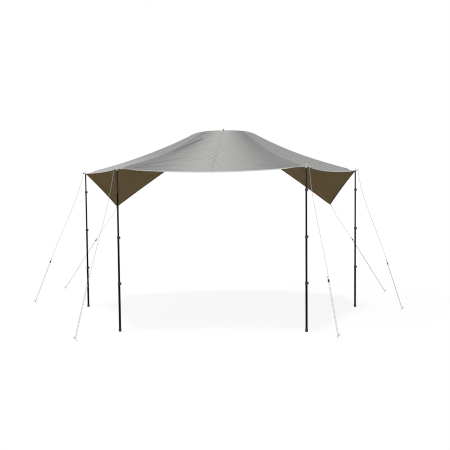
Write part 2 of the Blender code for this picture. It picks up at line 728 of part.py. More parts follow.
def build_poles():
    tubes = {tube: tube_mesh(tube) for tube in (1, 2, 3, 4)}
    levers = {tube: lever_mesh(tube) for tube in (2, 3, 4)}
    for name in POLES:
        pole = place(f"{name}_tilt", None, None, Matrix.Translation((*plan_corner(name), PIVOT_Z)))
        down = GROUND - PIVOT_Z
        for tube, mesh in tubes.items():
            height = down + tube_span(tube)[0]
            material = POLE_TOP if tube == 1 else POLE_BLACK
            section = place(f"{name}_tube_{tube}", mesh, material, Matrix.Translation((0, 0, height)), pole)
            if tube > 1:
                hub = clamp_radius(tube) + HUB_OFFSET
                place(f"{name}_lever_{tube - 1}", levers[tube], DARK_PLASTIC,
                      Matrix.Translation((hub, 0, -CLAMP_HEIGHT / 2)), section)


def line_anchor(name):
    """Where a line leaves the cloth: its tab's hole, or the knot on its wing's ring."""
    if name.startswith("wing"):
        return tip_webbing(name)[3]
    tab = NEAR_TAB if name.startswith("near") else OUTER_TAB
    hole = tab_path(tab)[1]
    return tab_frame(name) @ Vector((hole.x, 0, hole.y))


def line_parts(name):
    """A guy line's route from knot to knot, its tensioner's placement and its peg's path."""
    kind = name.split("_")[0]
    anchor = line_anchor(name)
    ground = Vector((*PEG_PLACES[name], GROUND))
    outward = Vector((ground.x - anchor.x, ground.y - anchor.y, 0)).normalized()
    stem = (outward * math.sin(PEG_LEAN) + UP * math.cos(PEG_LEAN)).normalized()
    hold = ground + stem * PEG_HOLD
    across = UP.cross(outward)
    turn = hold
    for _ in range(4):
        down = (turn + across * LOOP_RADIUS - anchor).normalized()
        across = (across - down * across.dot(down)).normalized()
        reach = (PEG_RADIUS + CORD_RADIUS + GAP) / math.sin(down.angle(stem))
        turn = hold - down * (LOOP_RADIUS - reach)
    middle = turn - down * (turn - anchor).length * TENSIONER_SHARE[kind]
    half = TENSIONER["height"] / 2
    straight = middle - down * (half + TAIL + 2 * TENSIONER_UP) + across * LOOP_RADIUS
    hang = (UP.cross(down).cross(down)).normalized()
    hang = hang if hang.z < 0 else -hang
    # The line hangs lowest a third of the way down, where 27/4 u (1 - u)^2 is 1
    route = [anchor.lerp(straight, u) + hang * LINE_SAG[kind] * 27 / 4 * u * (1 - u) ** 2
             for u in np.linspace(0, 1, LINE_STATIONS)]
    if kind != "wing":
        tab = NEAR_TAB if kind == "near" else OUTER_TAB
        square = tab_frame(name).to_3x3() @ Vector((math.sin(tab["slope"]), 0, math.cos(tab["slope"])))
        leave = (route[1] - anchor).normalized()
        rise = KNOT_RADIUS + GAP + WEBBING_THICKNESS / 2
        route[0] = anchor - leave * rise / abs(leave.dot(square))
    route.append(turn + across * LOOP_RADIUS - down * LOOP_RADIUS)
    for angle in np.linspace(0, math.pi, LOOP_STATIONS):
        route.append(turn + (across * math.cos(angle) + down * math.sin(angle)) * LOOP_RADIUS)
    route.append(turn - across * LOOP_RADIUS - down * LOOP_RADIUS)
    route.append(middle - down * (half + TAIL + KNOT_RADIUS) - across * LOOP_RADIUS)
    peg = [ground - stem * PEG_BURIED, ground, ground + stem * PEG_STEM]
    bend = ground + stem * PEG_STEM + outward_square(stem, outward) * PEG_HOOK
    side = (ground + stem * PEG_STEM - bend).normalized()
    for angle in np.linspace(0, math.pi, LOOP_STATIONS)[1:]:
        peg.append(bend + (side * math.cos(angle) + stem * math.sin(angle)) * PEG_HOOK)
    peg.append(peg[-1] - stem * PEG_TAIL)
    return {"route": route, "tensioner": frame(middle, across, -down), "peg": peg, "down": down}


def outward_square(stem, outward):
    """The direction square to a peg's stem on its outer side."""
    return (outward - stem * outward.dot(stem)).normalized()


def tensioner_mesh():
    """Moulded slider with two bores, long along Z."""
    half_width, half_height = TENSIONER["width"] / 2, TENSIONER["height"] / 2
    radius = TENSIONER_CORNER
    outline = []
    for x, y, start in ((1, 1, 0), (-1, 1, 90), (-1, -1, 180), (1, -1, 270)):
        centre = (x * (half_width - radius), y * (half_height - radius))
        outline += arc(centre, radius, math.radians(start), math.radians(start + 90), 4)
    upright = Matrix.Rotation(math.pi / 2, 4, "X")
    block = place("slider", plate_mesh("slider", outline, TENSIONER["thickness"]), None, upright,
                  collection=CUTTERS)
    bore = cylinder_mesh("cord_bore", TENSIONER["bore"], CUTTER_LENGTH, HOLE_SIDES)
    for side in (-1, 1):
        boolean(block, bore, Matrix.Translation((side * LOOP_RADIUS, 0, 0)), "DIFFERENCE")
    mesh = finished(block)
    mesh.transform(upright)
    return mesh


def knot_mesh():
    work = bmesh.new()
    bmesh.ops.create_uvsphere(work, u_segments=8, v_segments=6, radius=KNOT_RADIUS)
    mesh = bpy.data.meshes.new("knot")
    work.to_mesh(mesh)
    work.free()
    return mesh


def build_guy_lines():
    """Each line with its two knots, its slider and its peg."""
    slider = tensioner_mesh()
    knot = knot_mesh()
    for name in PEG_PLACES:
        parts = line_parts(name)
        tube = place(f"{name}_cord", wire_curve(f"{name}_cord", parts["route"], CORD_RADIUS), None,
                     collection=CUTTERS)
        line = place(f"{name}_guy_line", finished(tube), CORD)
        for centre in (parts["route"][0], parts["route"][-1]):
            boolean(line, knot, Matrix.Translation(centre), "UNION")
        place(f"{name}_tensioner", slider, DARK_PLASTIC, parts["tensioner"])
        place(f"{name}_peg", wire_curve(f"{name}_peg", parts["peg"], PEG_RADIUS), STEEL)


POLES = ("near_left", "near_right", "outer_left", "outer_right")

clear_scene()
PARTS = make_collection("rooftop_tent_awning")
CUTTERS = make_collection("cutters")
CANOPY_CLOTH = make_material("canopy_cloth", (175, 174, 173), 0.85)
WING_CLOTH = make_material("wing_cloth", (85, 72, 50), 0.85)
PALE_WEBBING = make_material("pale_webbing", (222, 218, 205), 0.8)
DARK_WEBBING = make_material("dark_webbing", (22, 22, 24), 0.8)
DARK_PLASTIC = make_material("dark_plastic", (30, 29, 31), 0.5)
POLE_TOP = make_material("pole_top_finish", (70, 72, 78), 0.45, 0.6)
POLE_BLACK = make_material("pole_black_finish", (16, 16, 17), 0.45, 0.3)
STEEL = make_material("bright_steel", (175, 176, 178), 0.35, 1.0)
CORD = make_material("guy_cord", (226, 225, 218), 0.85)

build_canopy()
build_wings()
build_corner_tabs()
build_tent_hooks()
build_centre_strap()
build_toggle()
build_poles()
build_guy_lines()

print("nodes", sum(thing.type in ("MESH", "CURVE") for thing in PARTS.objects))
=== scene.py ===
"""Rooftop tent awning, dressed: its cloth, webbing, poles, guy lines and pegs, and the stage.

Metres, +Z up, with the origin at the middle of the canopy's arched edge. The file is laid out as an
add-on, and is run as a script.
"""
import json
import math

import bmesh
import bpy
import numpy as np
from bpy.props import FloatProperty, FloatVectorProperty, IntProperty, PointerProperty
from mathutils import Matrix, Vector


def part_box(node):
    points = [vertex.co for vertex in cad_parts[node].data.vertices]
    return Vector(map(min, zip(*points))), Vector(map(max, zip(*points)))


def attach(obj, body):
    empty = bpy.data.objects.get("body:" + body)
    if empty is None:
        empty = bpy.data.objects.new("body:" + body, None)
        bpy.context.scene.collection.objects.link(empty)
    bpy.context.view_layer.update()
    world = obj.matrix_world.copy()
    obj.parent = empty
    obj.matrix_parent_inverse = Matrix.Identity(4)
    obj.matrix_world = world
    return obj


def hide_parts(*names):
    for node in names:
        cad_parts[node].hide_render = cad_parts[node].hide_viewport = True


bl_info = {
    "name": "Rooftop tent awning",
    "version": (1, 0, 0),
    "blender": (4, 5, 0),
    "location": "3D View > Sidebar > Awning",
    "description": "Dresses a rooftop tent awning's frame with cloth, webbing, poles and lines",
    "category": "Add Mesh",
}

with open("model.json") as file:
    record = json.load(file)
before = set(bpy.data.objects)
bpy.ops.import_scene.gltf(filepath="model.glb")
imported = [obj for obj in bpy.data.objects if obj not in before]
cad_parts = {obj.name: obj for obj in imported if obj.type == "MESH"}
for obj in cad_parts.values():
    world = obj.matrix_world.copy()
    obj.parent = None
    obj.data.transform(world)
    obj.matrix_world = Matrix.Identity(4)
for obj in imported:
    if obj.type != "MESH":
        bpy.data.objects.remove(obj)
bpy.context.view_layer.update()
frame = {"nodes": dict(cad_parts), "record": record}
ROOT = "canopy_and_lines"
POLES = ("near_left", "near_right", "outer_left", "outer_right")
FEET = {m["name"]: m["pos_m"] for m in frame["record"]["mounts"] if m["kind"] == "flat_face"}
UP = np.array((0.0, 0.0, 1.0))
MERGE = 1e-6

# The pitched cloth, as the frame has it
HOOK_HEIGHT = 2.75
CORNER_HEIGHT = 2.00
NEAR_REACH = 2.95
ARCH_END_HEIGHT = 2.26
ARCH_HALF_WIDTH = 0.72
ARCH_POWER = 3.2
RIDGE_SHARE = 0.33
SIDE_FAN = 4
CORNER_TIP = 0.025
CORNER_FLAT = 0.060
CORNER_BLENDS = (0.160, 0.260, 0.260, 0.160)
SIDE_BOW, NEAR_BOW = 0.060, 0.100
DIPS = (0.008, 0.050, 0.034)
SIDE_SAG, RIDGE_SAG, CENTRE_SAG = 0.015, 0.080, 0.015
SAG_POWER = 0.7
FOLD_DEPTH, FOLD_COUNT = 0.008, 3
CANOPY_THICKNESS = 0.0024
WING_THICKNESS = 0.0020
WING_TIP = (1.737, -0.407, 1.50 - HOOK_HEIGHT)
WING_TIP_WIDTH = 0.045
WING_BOW = 0.012
WING_FOLD, WING_FOLDS = 0.007, 3
WING_REACH = 0.985
GAP, SOFT_GAP = 0.0003, 0.0008
GROUND = -HOOK_HEIGHT
CORNER_Z = CORNER_HEIGHT - HOOK_HEIGHT
# The canopy's panels: name, first and last thread, and the cut's width, length and area
PANELS = (
    ("left_panel", 0.0, 1.0, (1.90, 3.20), 2.42),
    ("centre_left_panel", 1.0, 1.5, (1.20, 3.20), 2.24),
    ("centre_right_panel", 1.5, 2.0, (1.20, 3.20), 2.24),
    ("right_panel", 2.0, 3.0, (1.90, 3.20), 2.42),
)

# Sewing: how proud the tapes stand, the seams' reach, and the V strap on the centre seam
HEM_LIFT, SEAM_LIFT, WING_HEM_LIFT = 0.0011, 0.0010, 0.0010
SEAM_START, SEAM_END = 0.012, 0.985
CENTRE_SEAM_WIDTH = 0.016
WING_SEAM_SIZE, WING_SEAM_CORNER = (0.012, 0.0052), 0.0025
STRAP_START, STRAP_LENGTH, STRAP_SPREAD = 0.020, 0.56, 0.047
STRAP_INNER, STRAP_WIDTH, STRAP_THICKNESS = 0.001, 0.011, 0.0012

# Corner hardware
EYELET_BORE, EYELET_FLANGE, CLOTH_HOLE = 0.0080, 0.0140, 0.0095
FLANGE_THICKNESS = 0.0010
EYELET_FACE = CANOPY_THICKNESS / 2 + FLANGE_THICKNESS
SPIGOT_DOME, SPIGOT_PIN, SPIGOT_HEIGHT = 0.0086, 0.0045, 0.0460
SPIGOT_SHOULDER, SHOULDER_TOP, COLLAR_BOTTOM = 0.0105, 0.0045, 0.0108
PIVOT_Z = CORNER_Z - EYELET_FACE - math.sqrt((SPIGOT_DOME + GAP) ** 2 - EYELET_BORE ** 2)
WEBBING_THICKNESS = 0.0020
TAB_BEND, TAB_HOLE, TAB_HOLE_INSET = 0.010, 0.0040, 0.011
TABS = {
    "near": {"width": 0.025, "inner": 0.020, "flat": 0.030, "leg": 0.026, "slope": math.radians(20)},
    "outer": {"width": 0.034, "inner": 0.022, "flat": 0.029, "leg": 0.019, "slope": math.radians(12)},
}
WING_TAB = {"width": 0.025, "inner": 0.030, "outer": 0.016}
RING_RADIUS, RING_WIRE = 0.0090, 0.0015

# Poles
TUBE_OD = (0.019, 0.022, 0.025, 0.028)
TUBE_WALL = 0.0012
TUBE_TOPS = (PIVOT_Z - COLLAR_BOTTOM, GROUND + 1.740, GROUND + 1.175, GROUND + 0.610)
TUBE_NEST = 0.060
TUBE_1_LENGTH = 0.610
SECTION_FOOT, SECTION_STEP = 0.045, 0.565
CLAMP_HEIGHT, CLAMP_WALL = 0.0310, 0.0035
EAR_THICKNESS, EAR_INSET, EAR_RADIUS = 0.0058, 0.0006, 0.0045
HUB_OFFSET, HUB_RADIUS, PIVOT_RADIUS = 0.0050, 0.0040, 0.0015
LEVER_START, LEVER_SWEEP = math.radians(13), math.radians(118)
LEVER_THICKNESS, LEVER_LIP, LEVER_GAP = 0.0030, 0.0030, 0.0009
LEVER_HUB_ARC = math.radians(-60), math.radians(215)
LEVER_RIBS = np.radians((62, 74, 86))
CLAMP_GROOVES, GROOVE_DEPTH = (0.0085, 0.0225), 0.0006
FOOT_RADIUS, FOOT_HEIGHT, FOOT_FLOOR, FOOT_BORE = 0.0175, 0.0400, 0.0148, 0.0139
FOOT_GROOVES, FOOT_GROOVE_DEPTH = (0.010, 0.016, 0.022), 0.0008

# Guy lines
PEG_PLACES = {
    "near_left": (-1.548, -3.421),
    "near_right": (1.469, -3.258),
    "outer_left": (-2.897, -1.057),
    "outer_right": (2.590, -1.622),
    "wing_left": (-2.848, 0.281),
    "wing_right": (2.668, -0.122),
}
CORD_RADIUS, LOOP_RADIUS, KNOT_RADIUS = 0.0020, 0.0080, 0.0060
KNOT_TURNS = 3.5
TENSIONER_HEIGHT, TENSIONER_UP, TAIL = 0.034, 0.020, 0.025
LINE_SAG = {"near": 0.025, "outer": 0.035, "wing": 0.015}
TENSIONER_SHARE = {"near": 0.32, "outer": 0.32, "wing": 0.61}
PEG_RADIUS, PEG_LEAN, PEG_HOLD = 0.0030, math.radians(30), 0.035
PEG_BURIED, PEG_STEM, PEG_HOOK, PEG_TAIL = 0.170, 0.055, 0.0090, 0.0120

# Threads: pitch of the weave, a stitch's pitch and its share of it, and the cord's strands and girth
THREAD, RIB_THREAD = 0.0011, 0.0016
STITCH_PITCH, STITCH_SHARE = 0.004, 0.8
STRAND_LENGTH, CORD_GIRTH, STRANDS, TRACER_PITCH = 0.0032, 0.0125, 4, 0.013

# Camera: place, turns in radians, focal length in pixels of the 450 pixel picture, and pixel filter.
# Lamps: the way that each shines, and the angle that the soft one covers
CAMERA_PLACE = (0.5355, -10.2046, 1.6989 - HOOK_HEIGHT)
YAW, PITCH, ROLL = -0.0511, -0.0539, -0.0097
FOCAL_PIXELS, PICTURE_PIXELS, SENSOR_WIDTH, FILTER_WIDTH = 600.16, 450, 36.0, 1.1
TOP_LIGHT, SIDE_LIGHT, SIDE_LIGHT_SIZE = (0.10, 0.06, -0.99), (0.78, 0.22, -0.58), math.radians(50)

# Puckers beside the centre seam: height, pitch, lean, and reach to the left and right of it
PUCKER_HEIGHT, PUCKER_PITCH, PUCKER_LEAN = 0.0080, 0.27, 2.6
PUCKER_REACH = (0.17, 0.13)
# Creases on the canopy, in plan: from x, y, to x, y, half width and depth
CREASES = (
    (-0.030, -0.690, -0.190, -1.060, 0.016, 0.0068), (-0.036, -1.174, -0.260, -1.640, 0.018, 0.0102),
    (-0.019, -1.734, -0.300, -1.900, 0.016, 0.0093), (-0.034, -1.932, -0.470, -2.330, 0.020, 0.0085),
    (-0.023, -2.402, -0.380, -2.550, 0.018, 0.0059), (0.032, -1.734, 0.230, -2.150, 0.018, 0.0093),
    (0.026, -1.174, 0.180, -1.520, 0.016, 0.0076), (0.022, -2.203, 0.320, -2.580, 0.018, 0.0059),
    (0.030, -0.740, 0.150, -1.060, 0.014, 0.0059), (-0.254, -0.492, -0.733, -1.762, 0.026, -0.0153),
    (-0.314, -0.911, -0.759, -2.035, 0.024, 0.0119), (-0.539, -1.254, -0.802, -2.417, 0.022, 0.0076),
    (-1.050, -2.811, -0.180, -1.664, 0.022, 0.0076), (-1.064, -2.867, -0.320, -2.392, 0.020, 0.0076),
    (-0.992, -2.909, -0.160, -2.693, 0.018, 0.0068), (0.393, -0.681, 0.634, -1.642, 0.022, 0.0076),
    (0.299, -0.748, 0.493, -2.061, 0.022, 0.0068), (1.060, -2.830, 0.420, -2.050, 0.024, 0.0110),
    (1.050, -2.880, 0.300, -2.480, 0.020, 0.0095), (1.062, -2.850, 0.140, -2.240, 0.020, 0.0090),
    (1.030, -2.905, 0.090, -2.690, 0.016, 0.0070),
)


# Shapes

def unit(v):
    """v over its own length, along the last axis."""
    return v / np.maximum(np.linalg.norm(v, axis=-1, keepdims=True), 1e-12)


def distance(first, last):
    """Between points, or between rows of points, along the last axis."""
    return np.linalg.norm(last - first, axis=-1)


def together(*values):
    """Numbers and arrays as float arrays of one shape."""
    return np.broadcast_arrays(*(np.asarray(v, float) for v in values))


def ease(value):
    """0 to 1 with level ends: 3 v^2 - 2 v^3."""
    value = np.clip(value, 0, 1)
    return value * value * (3 - 2 * value)


def arch_table():
    """A super-ellipse from end to end: |x/a|^n + |z/b|^n = 1, with the share of its length at each point."""
    angle = np.linspace(math.pi, 0, 721)
    x = ARCH_HALF_WIDTH * np.sign(np.cos(angle)) * np.abs(np.cos(angle)) ** (2 / ARCH_POWER)
    z = (HOOK_HEIGHT - ARCH_END_HEIGHT) * (np.abs(np.sin(angle)) ** (2 / ARCH_POWER) - 1)
    steps = np.hypot(np.diff(x), np.diff(z))
    return np.concatenate(([0], np.cumsum(steps))) / steps.sum(), x, z


def edge_corners():
    """Cloth tips, CORNER_TIP outside each eyelet along the corner's bisector."""
    names = ("outer_left", "near_left", "near_right", "outer_right")
    eyelets = np.array([FEET[f"{name}_foot"][:2] for name in names])
    ring = np.vstack(((-ARCH_HALF_WIDTH, 0), eyelets, (ARCH_HALF_WIDTH, 0)))
    inward = unit(unit(ring[:-2] - ring[1:-1]) + unit(ring[2:] - ring[1:-1]))
    return eyelets - inward * CORNER_TIP, eyelets


ARCH = arch_table()
TIPS, EYELETS = edge_corners()


def canopy_surface(around, out):
    """Middle of the cloth: straight threads from the arch to the outer edge, less a sag.

    around is 0 to 3 over the three panels and out is 0 to 1. The outer edge is bowed in and dipped by a
    parabola, and the sag is sin(pi out) times a rounded parabola. It is level round each eyelet.
    """
    around, out = together(around, out)
    panel = np.clip(around.astype(int), 0, 2)
    across = np.clip(around - panel, 0, 1)
    gathered = np.where(panel == 0, across, 1 - across) ** (1 / SIDE_FAN) * RIDGE_SHARE
    share = np.choose(panel, (gathered, RIDGE_SHARE + (1 - 2 * RIDGE_SHARE) * across, 1 - gathered))
    arch = np.stack((np.interp(share, ARCH[0], ARCH[1]), np.zeros_like(share),
                     np.interp(share, ARCH[0], ARCH[2])), -1)
    run = TIPS[panel + 1] - TIPS[panel]
    hollow = 4 * across * (1 - across)
    inward = unit(np.stack((-run[..., 1], run[..., 0]), -1))
    middle = panel == 1
    bow = np.where(middle, NEAR_BOW, SIDE_BOW)
    dip = np.array(DIPS)[panel]
    plan = TIPS[panel] + run * across[..., None] + inward * (bow * hollow)[..., None]
    edge = np.concatenate((plan, (CORNER_Z - dip * hollow)[..., None]), -1)
    point = arch + (edge - arch) * out[..., None]
    ridge = np.choose(panel, (across, 1.0, 1 - across)) ** 0.5
    sag = RIDGE_SAG * ridge
    sag = sag + np.where(middle, (CENTRE_SAG - RIDGE_SAG) * hollow ** SAG_POWER, SIDE_SAG * hollow)
    fold = FOLD_DEPTH * np.cos(math.tau * FOLD_COUNT * across) * hollow
    point[..., 2] -= np.sin(math.pi * np.clip(out, 0, 1)) * (sag + fold)
    for (x, y), blend in zip(EYELETS, CORNER_BLENDS):
        away = np.hypot(point[..., 0] - x, point[..., 1] - y)
        level = ease((blend - away) / (blend - CORNER_FLAT))
        point[..., 2] += (CORNER_Z - point[..., 2]) * level
    return point


def canopy_normal(around, out):
    """Upward unit normal, from the differences over small steps in both directions."""
    around, out = together(around, out)
    step = 0.004
    narrow = np.where((around < 0.02) | (around > 2.98), step / 10, step)
    near, far = np.maximum(out - step, 0), np.minimum(out + step, 1)
    first, last = np.maximum(around - narrow, 0), np.minimum(around + narrow, 3)
    level = np.maximum(out, step)
    normal = unit(np.cross(canopy_surface(around, far) - canopy_surface(around, near),
                           canopy_surface(last, level) - canopy_surface(first, level)))
    return normal * np.sign(normal[..., 2:])


def crease_height(point):
    """Height of the creases: a ridge beside a valley, the slope of a bell curve, fading at both ends."""
    height = np.zeros(point.shape[:-1])
    plan = point[..., :2]
    for x0, y0, x1, y1, width, depth in CREASES:
        run = np.array((x1 - x0, y1 - y0))
        length = np.linalg.norm(run)
        run = run / length
        side = np.array((-run[1], run[0]))
        near = plan - np.array((x0, y0))
        t, d = near @ run / length, near @ side / width
        wander = d + 0.5 * np.sin(5 * t + 9 * x0)
        height += depth * wander * np.exp(0.5 - wander ** 2 / 1.2) * ease(t * 5) * ease((1 - t) * 2.2)
    return height


def gather_height(around, out):
    """Short puckers along the centre seam: a sine along it that leans towards the outer edge away from
    it, stronger at some places than at others, fading exponentially over a hand's width."""
    x = canopy_surface(around, out)[..., 0] - canopy_surface(1.5, out)[..., 0]
    y = np.asarray(out) * NEAR_REACH
    away = np.abs(x)
    shift = np.where(x < 0, 0.0, 2.0)
    wave = np.sin(math.tau * (y - PUCKER_LEAN * away) / PUCKER_PITCH + 1.6 * np.sin(4 * y) + shift)
    strength = 0.68 + 0.32 * np.sin(6.5 * y + shift) * np.sin(2.9 * y + 1.0)
    fade = np.exp(-away / np.where(x < 0, *PUCKER_REACH)) * ease(away / 0.02)
    return PUCKER_HEIGHT * wave * strength * fade * ease(out * 6) * ease((1 - out) * 9)


def to_eyelet(point):
    """Distance in plan to the nearest eyelet's middle."""
    return np.min([np.hypot(point[..., 0] - x, point[..., 1] - y) for x, y in EYELETS], 0)


def cloth(around, out, lift=0.0):
    """The canopy with its creases, raised by lift along the smooth surface's normal."""
    around, out = together(around, out)
    base = canopy_surface(around, out)
    height = (crease_height(base) + gather_height(around, out)) * ease((to_eyelet(base) - 0.03) / 0.10)
    return base + canopy_normal(around, out) * (height + lift)[..., None]


def wing_surface(side, out, down):
    """A wing's middle: straight threads from the seam to the tip's webbing, bowed along its two free
    edges by a parabola, with fan folds that are a sine across and fade towards the seam and the tip."""
    out, down = together(out, down)
    tip = np.array((side * WING_TIP[0], WING_TIP[1], WING_TIP[2]))
    end = 0.0 if side < 0 else 3.0
    first, last = canopy_surface(end, 0.0), canopy_surface(end, 1.0)
    normal = unit(np.cross(last - first, tip - first))
    normal = normal * np.sign(normal[2])
    run = unit(last - first)
    fall = np.cross(normal, run)
    fall = fall * -np.sign(fall[2])
    start = canopy_surface(end, out) + fall * (CANOPY_THICKNESS / 2 + GAP)
    reach = tip + run * (WING_TIP_WIDTH * (out - 0.5))[..., None]
    hollow = 4 * down * (1 - down)
    point = start + (reach - start) * down[..., None]
    point = point + run * (WING_BOW * hollow * (1 - 2 * out))[..., None]
    wave = np.sin(math.pi * WING_FOLDS * out) * np.sin(math.pi * down)
    ripple = 0.35 * np.sin(9.5 * math.pi * out + 2 * down) * np.sin(math.pi * down) ** 0.5
    return point + normal * (WING_FOLD * (wave + ripple) * hollow)[..., None], normal


def row_stations(rows):
    """Shares of the way out, closer together towards the outer edge: 1 - (1 - s)^1.6."""
    return 1 - (1 - np.linspace(0, 1, rows + 1)) ** 1.6


def thread_stations():
    """Places of the canopy's threads along the outer edge, closer together in the corners."""
    corner = np.arange(0.003, 0.046, 0.003)
    stations = []
    for panel, count in ((0, 120), (1, 201)):
        edge = corner / np.linalg.norm(TIPS[panel + 1] - TIPS[panel])
        stations.append(np.unique(np.concatenate((np.linspace(0, 1, count), edge, 1 - edge)).round(7)))
    left, centre = stations
    return np.concatenate((left[:-1], 1 + centre[:-1], 3 - left[::-1]))


def gathered(around, out):
    """Threads of the side panels drawn towards the wings near the arch: share ^ (1 + 3 (1 - out))."""
    power = 1 + (SIDE_FAN - 1) * (1 - out)
    left, right = np.clip(around, 0, 1) ** power, 3 - np.clip(3 - around, 0, 1) ** power
    return np.where(around < 1, left, np.where(around > 2, right, around))


# Meshes

def corners(values):
    """The values at the four corners of each cell of a grid, in order round it."""
    return np.stack((values[:-1, :-1], values[:-1, 1:], values[1:, 1:], values[1:, :-1]), 2)


def surface(name, grid, wrap=False, caps=False, uv=None, keep=None, crisp=35.0):
    """A mesh object through a grid of points, rows x columns x 3.

    wrap joins each row's ends, and caps fill the first and last rows. keep is a mask of the cells that
    have a face. Edges sharper than crisp degrees stay crisp.
    """
    rows, wide = grid.shape[:2]
    index = np.arange(rows * wide).reshape(rows, wide)
    if wrap:
        index = np.concatenate((index, index[:, :1]), 1)
    quads = corners(index)
    mask = np.ones(quads.shape[:2], bool) if keep is None else keep
    faces = quads[mask].tolist()
    if caps:
        faces += [index[0, :wide].tolist(), index[-1, :wide].tolist()]
    mesh = bpy.data.meshes.new(name)
    mesh.from_pydata(grid.reshape(-1, 3).tolist(), [], faces)
    if uv is None:
        u = np.cumsum(np.linalg.norm(np.diff(grid, axis=0, prepend=grid[:1]), axis=-1).mean(1))
        around = np.concatenate((grid, grid[:, :1]), 1) if wrap else grid
        v = np.cumsum(np.linalg.norm(np.diff(around, axis=1, prepend=around[:, :1]), axis=-1).mean(0))
        uv = np.stack(np.meshgrid(u, v, indexing="ij"), -1)
    loops = corners(uv)[mask].reshape(-1, 2)
    flat = np.zeros((len(mesh.loops), 2), np.float32)
    flat[:len(loops)] = loops
    mesh.uv_layers.new(name="cloth_metres").data.foreach_set("uv", flat.ravel())
    if caps:
        outward(mesh)
    return shown(mesh, crisp)


def shown(mesh, crisp):
    """An object for a mesh, smooth but for edges sharper than crisp degrees."""
    mesh.shade_smooth()
    mesh.set_sharp_from_angle(angle=math.radians(crisp))
    thing = bpy.data.objects.new(mesh.name, mesh)
    bpy.context.scene.collection.objects.link(thing)
    return thing


def outward(mesh, merge=0.0, dissolve=False):
    """Turn a closed shell's faces outward, after merging what lies closer than merge."""
    work = bmesh.new()
    work.from_mesh(mesh)
    if merge:
        bmesh.ops.remove_doubles(work, verts=work.verts, dist=merge)
    bmesh.ops.recalc_face_normals(work, faces=work.faces)
    if dissolve:
        bmesh.ops.dissolve_limit(work, angle_limit=math.radians(1), verts=work.verts, edges=work.edges)
    work.to_mesh(mesh)
    work.free()


def swept(name, path, section, level, **more):
    """A section carried along a path. Its x lies along path tangent x level, its y along level."""
    path = np.asarray(path, float)
    tangent = unit(np.gradient(path, axis=0))
    side = unit(np.cross(tangent, np.asarray(level, float)))
    rise = np.cross(side, tangent)
    section = np.asarray(section, float)
    if section.ndim == 2:
        section = np.broadcast_to(section, (len(path), *section.shape))
    grid = path[:, None] + side[:, None] * section[..., :1] + rise[:, None] * section[..., 1:]
    return surface(name, grid, wrap=True, caps=True, **more)


def circle(radius, sides):
    """Points round a circle."""
    angle = np.linspace(0, math.tau, sides, endpoint=False)
    return np.stack((radius * np.cos(angle), radius * np.sin(angle)), -1)


def arc(centre, radius, start, end, count):
    """Points on a circle from one angle to another, both in radians."""
    angle = np.linspace(start, end, count)
    return np.asarray(centre) + np.stack((radius * np.cos(angle), radius * np.sin(angle)), -1)


def raised(outline, height):
    """A flat outline as points at a height."""
    return np.concatenate((outline, np.full((len(outline), 1), height)), -1)


def rounded(width, height, corner, steps=4):
    """Outline of a rectangle with arcs for corners."""
    centres = np.array(((1, 1), (-1, 1), (-1, -1), (1, -1))) * (width / 2 - corner, height / 2 - corner)
    angle = np.linspace(0, math.pi / 2, steps)
    arcs = [c + corner * np.stack((np.cos(angle + a), np.sin(angle + a)), -1)
            for c, a in zip(centres, np.arange(4) * math.pi / 2)]
    return np.concatenate(arcs)


def turned(name, profile, centre, sides=40, ring=False):
    """Radius and height pairs carried round a vertical axis. A ring's profile is closed on itself."""
    profile = np.asarray(profile, float)
    if ring:
        profile = np.vstack((profile, profile[:1]))
    height = np.broadcast_to(profile[:, None, 1:], (len(profile), sides, 1))
    grid = np.concatenate((profile[:, None, :1] * circle(1.0, sides), height), -1)
    thing = surface(name, grid + np.asarray(centre, float), wrap=True)
    outward(thing.data, MERGE)
    return thing


def extruded(name, outline, low, high, bevel):
    """A closed outline between two heights, its rim rounded by one chamfer row at each end."""
    outline = np.asarray(outline, float)
    middle = outline.mean(0)
    reach = np.maximum(np.linalg.norm(outline - middle, axis=-1, keepdims=True), 1e-9)
    rows = [raised(middle + (outline - middle) * (1 - shrink / reach), height)
            for shrink, height in ((bevel, low), (0.0, low + bevel), (0.0, high - bevel), (bevel, high))]
    return surface(name, np.stack(rows), wrap=True, caps=True)


def softened(name, node, bevel):
    """A merged copy of a frame node with its edges rounded."""
    mesh = frame["nodes"][node].data.copy()
    mesh.name = name
    outward(mesh, MERGE, dissolve=True)
    thing = shown(mesh, 50)
    modifier = thing.modifiers.new("edges", "BEVEL")
    modifier.width = bevel
    modifier.segments = 2
    modifier.limit_method = "ANGLE"
    modifier.angle_limit = math.radians(50)
    return thing


def thick(thing, thickness, inner=0):
    """Half of the thickness to each side of the sheet. inner is the material slot of its underside."""
    modifier = thing.modifiers.new("thickness", "SOLIDIFY")
    modifier.thickness = thickness
    modifier.offset = 0
    modifier.use_even_offset = False
    modifier.material_offset = inner


def settle(thing, finish, body=ROOT, slot=None, replaces=()):
    """Give a piece its finish and its body, and hide the nodes it stands for. slot is not used."""
    names = [finish] if isinstance(finish, str) else finish
    for name in names:
        thing.data.materials.append(FINISHES[name])
    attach(thing, body)
    if replaces:
        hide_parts(*replaces)
    return thing


def tape(name, grid, finish, slot, **more):
    """A closed strip of cloth or webbing. Each row of the grid is its outline at one place along it."""
    return settle(surface(name, grid, wrap=True, caps=True, crisp=60), finish, slot=slot, **more)


# Finishes

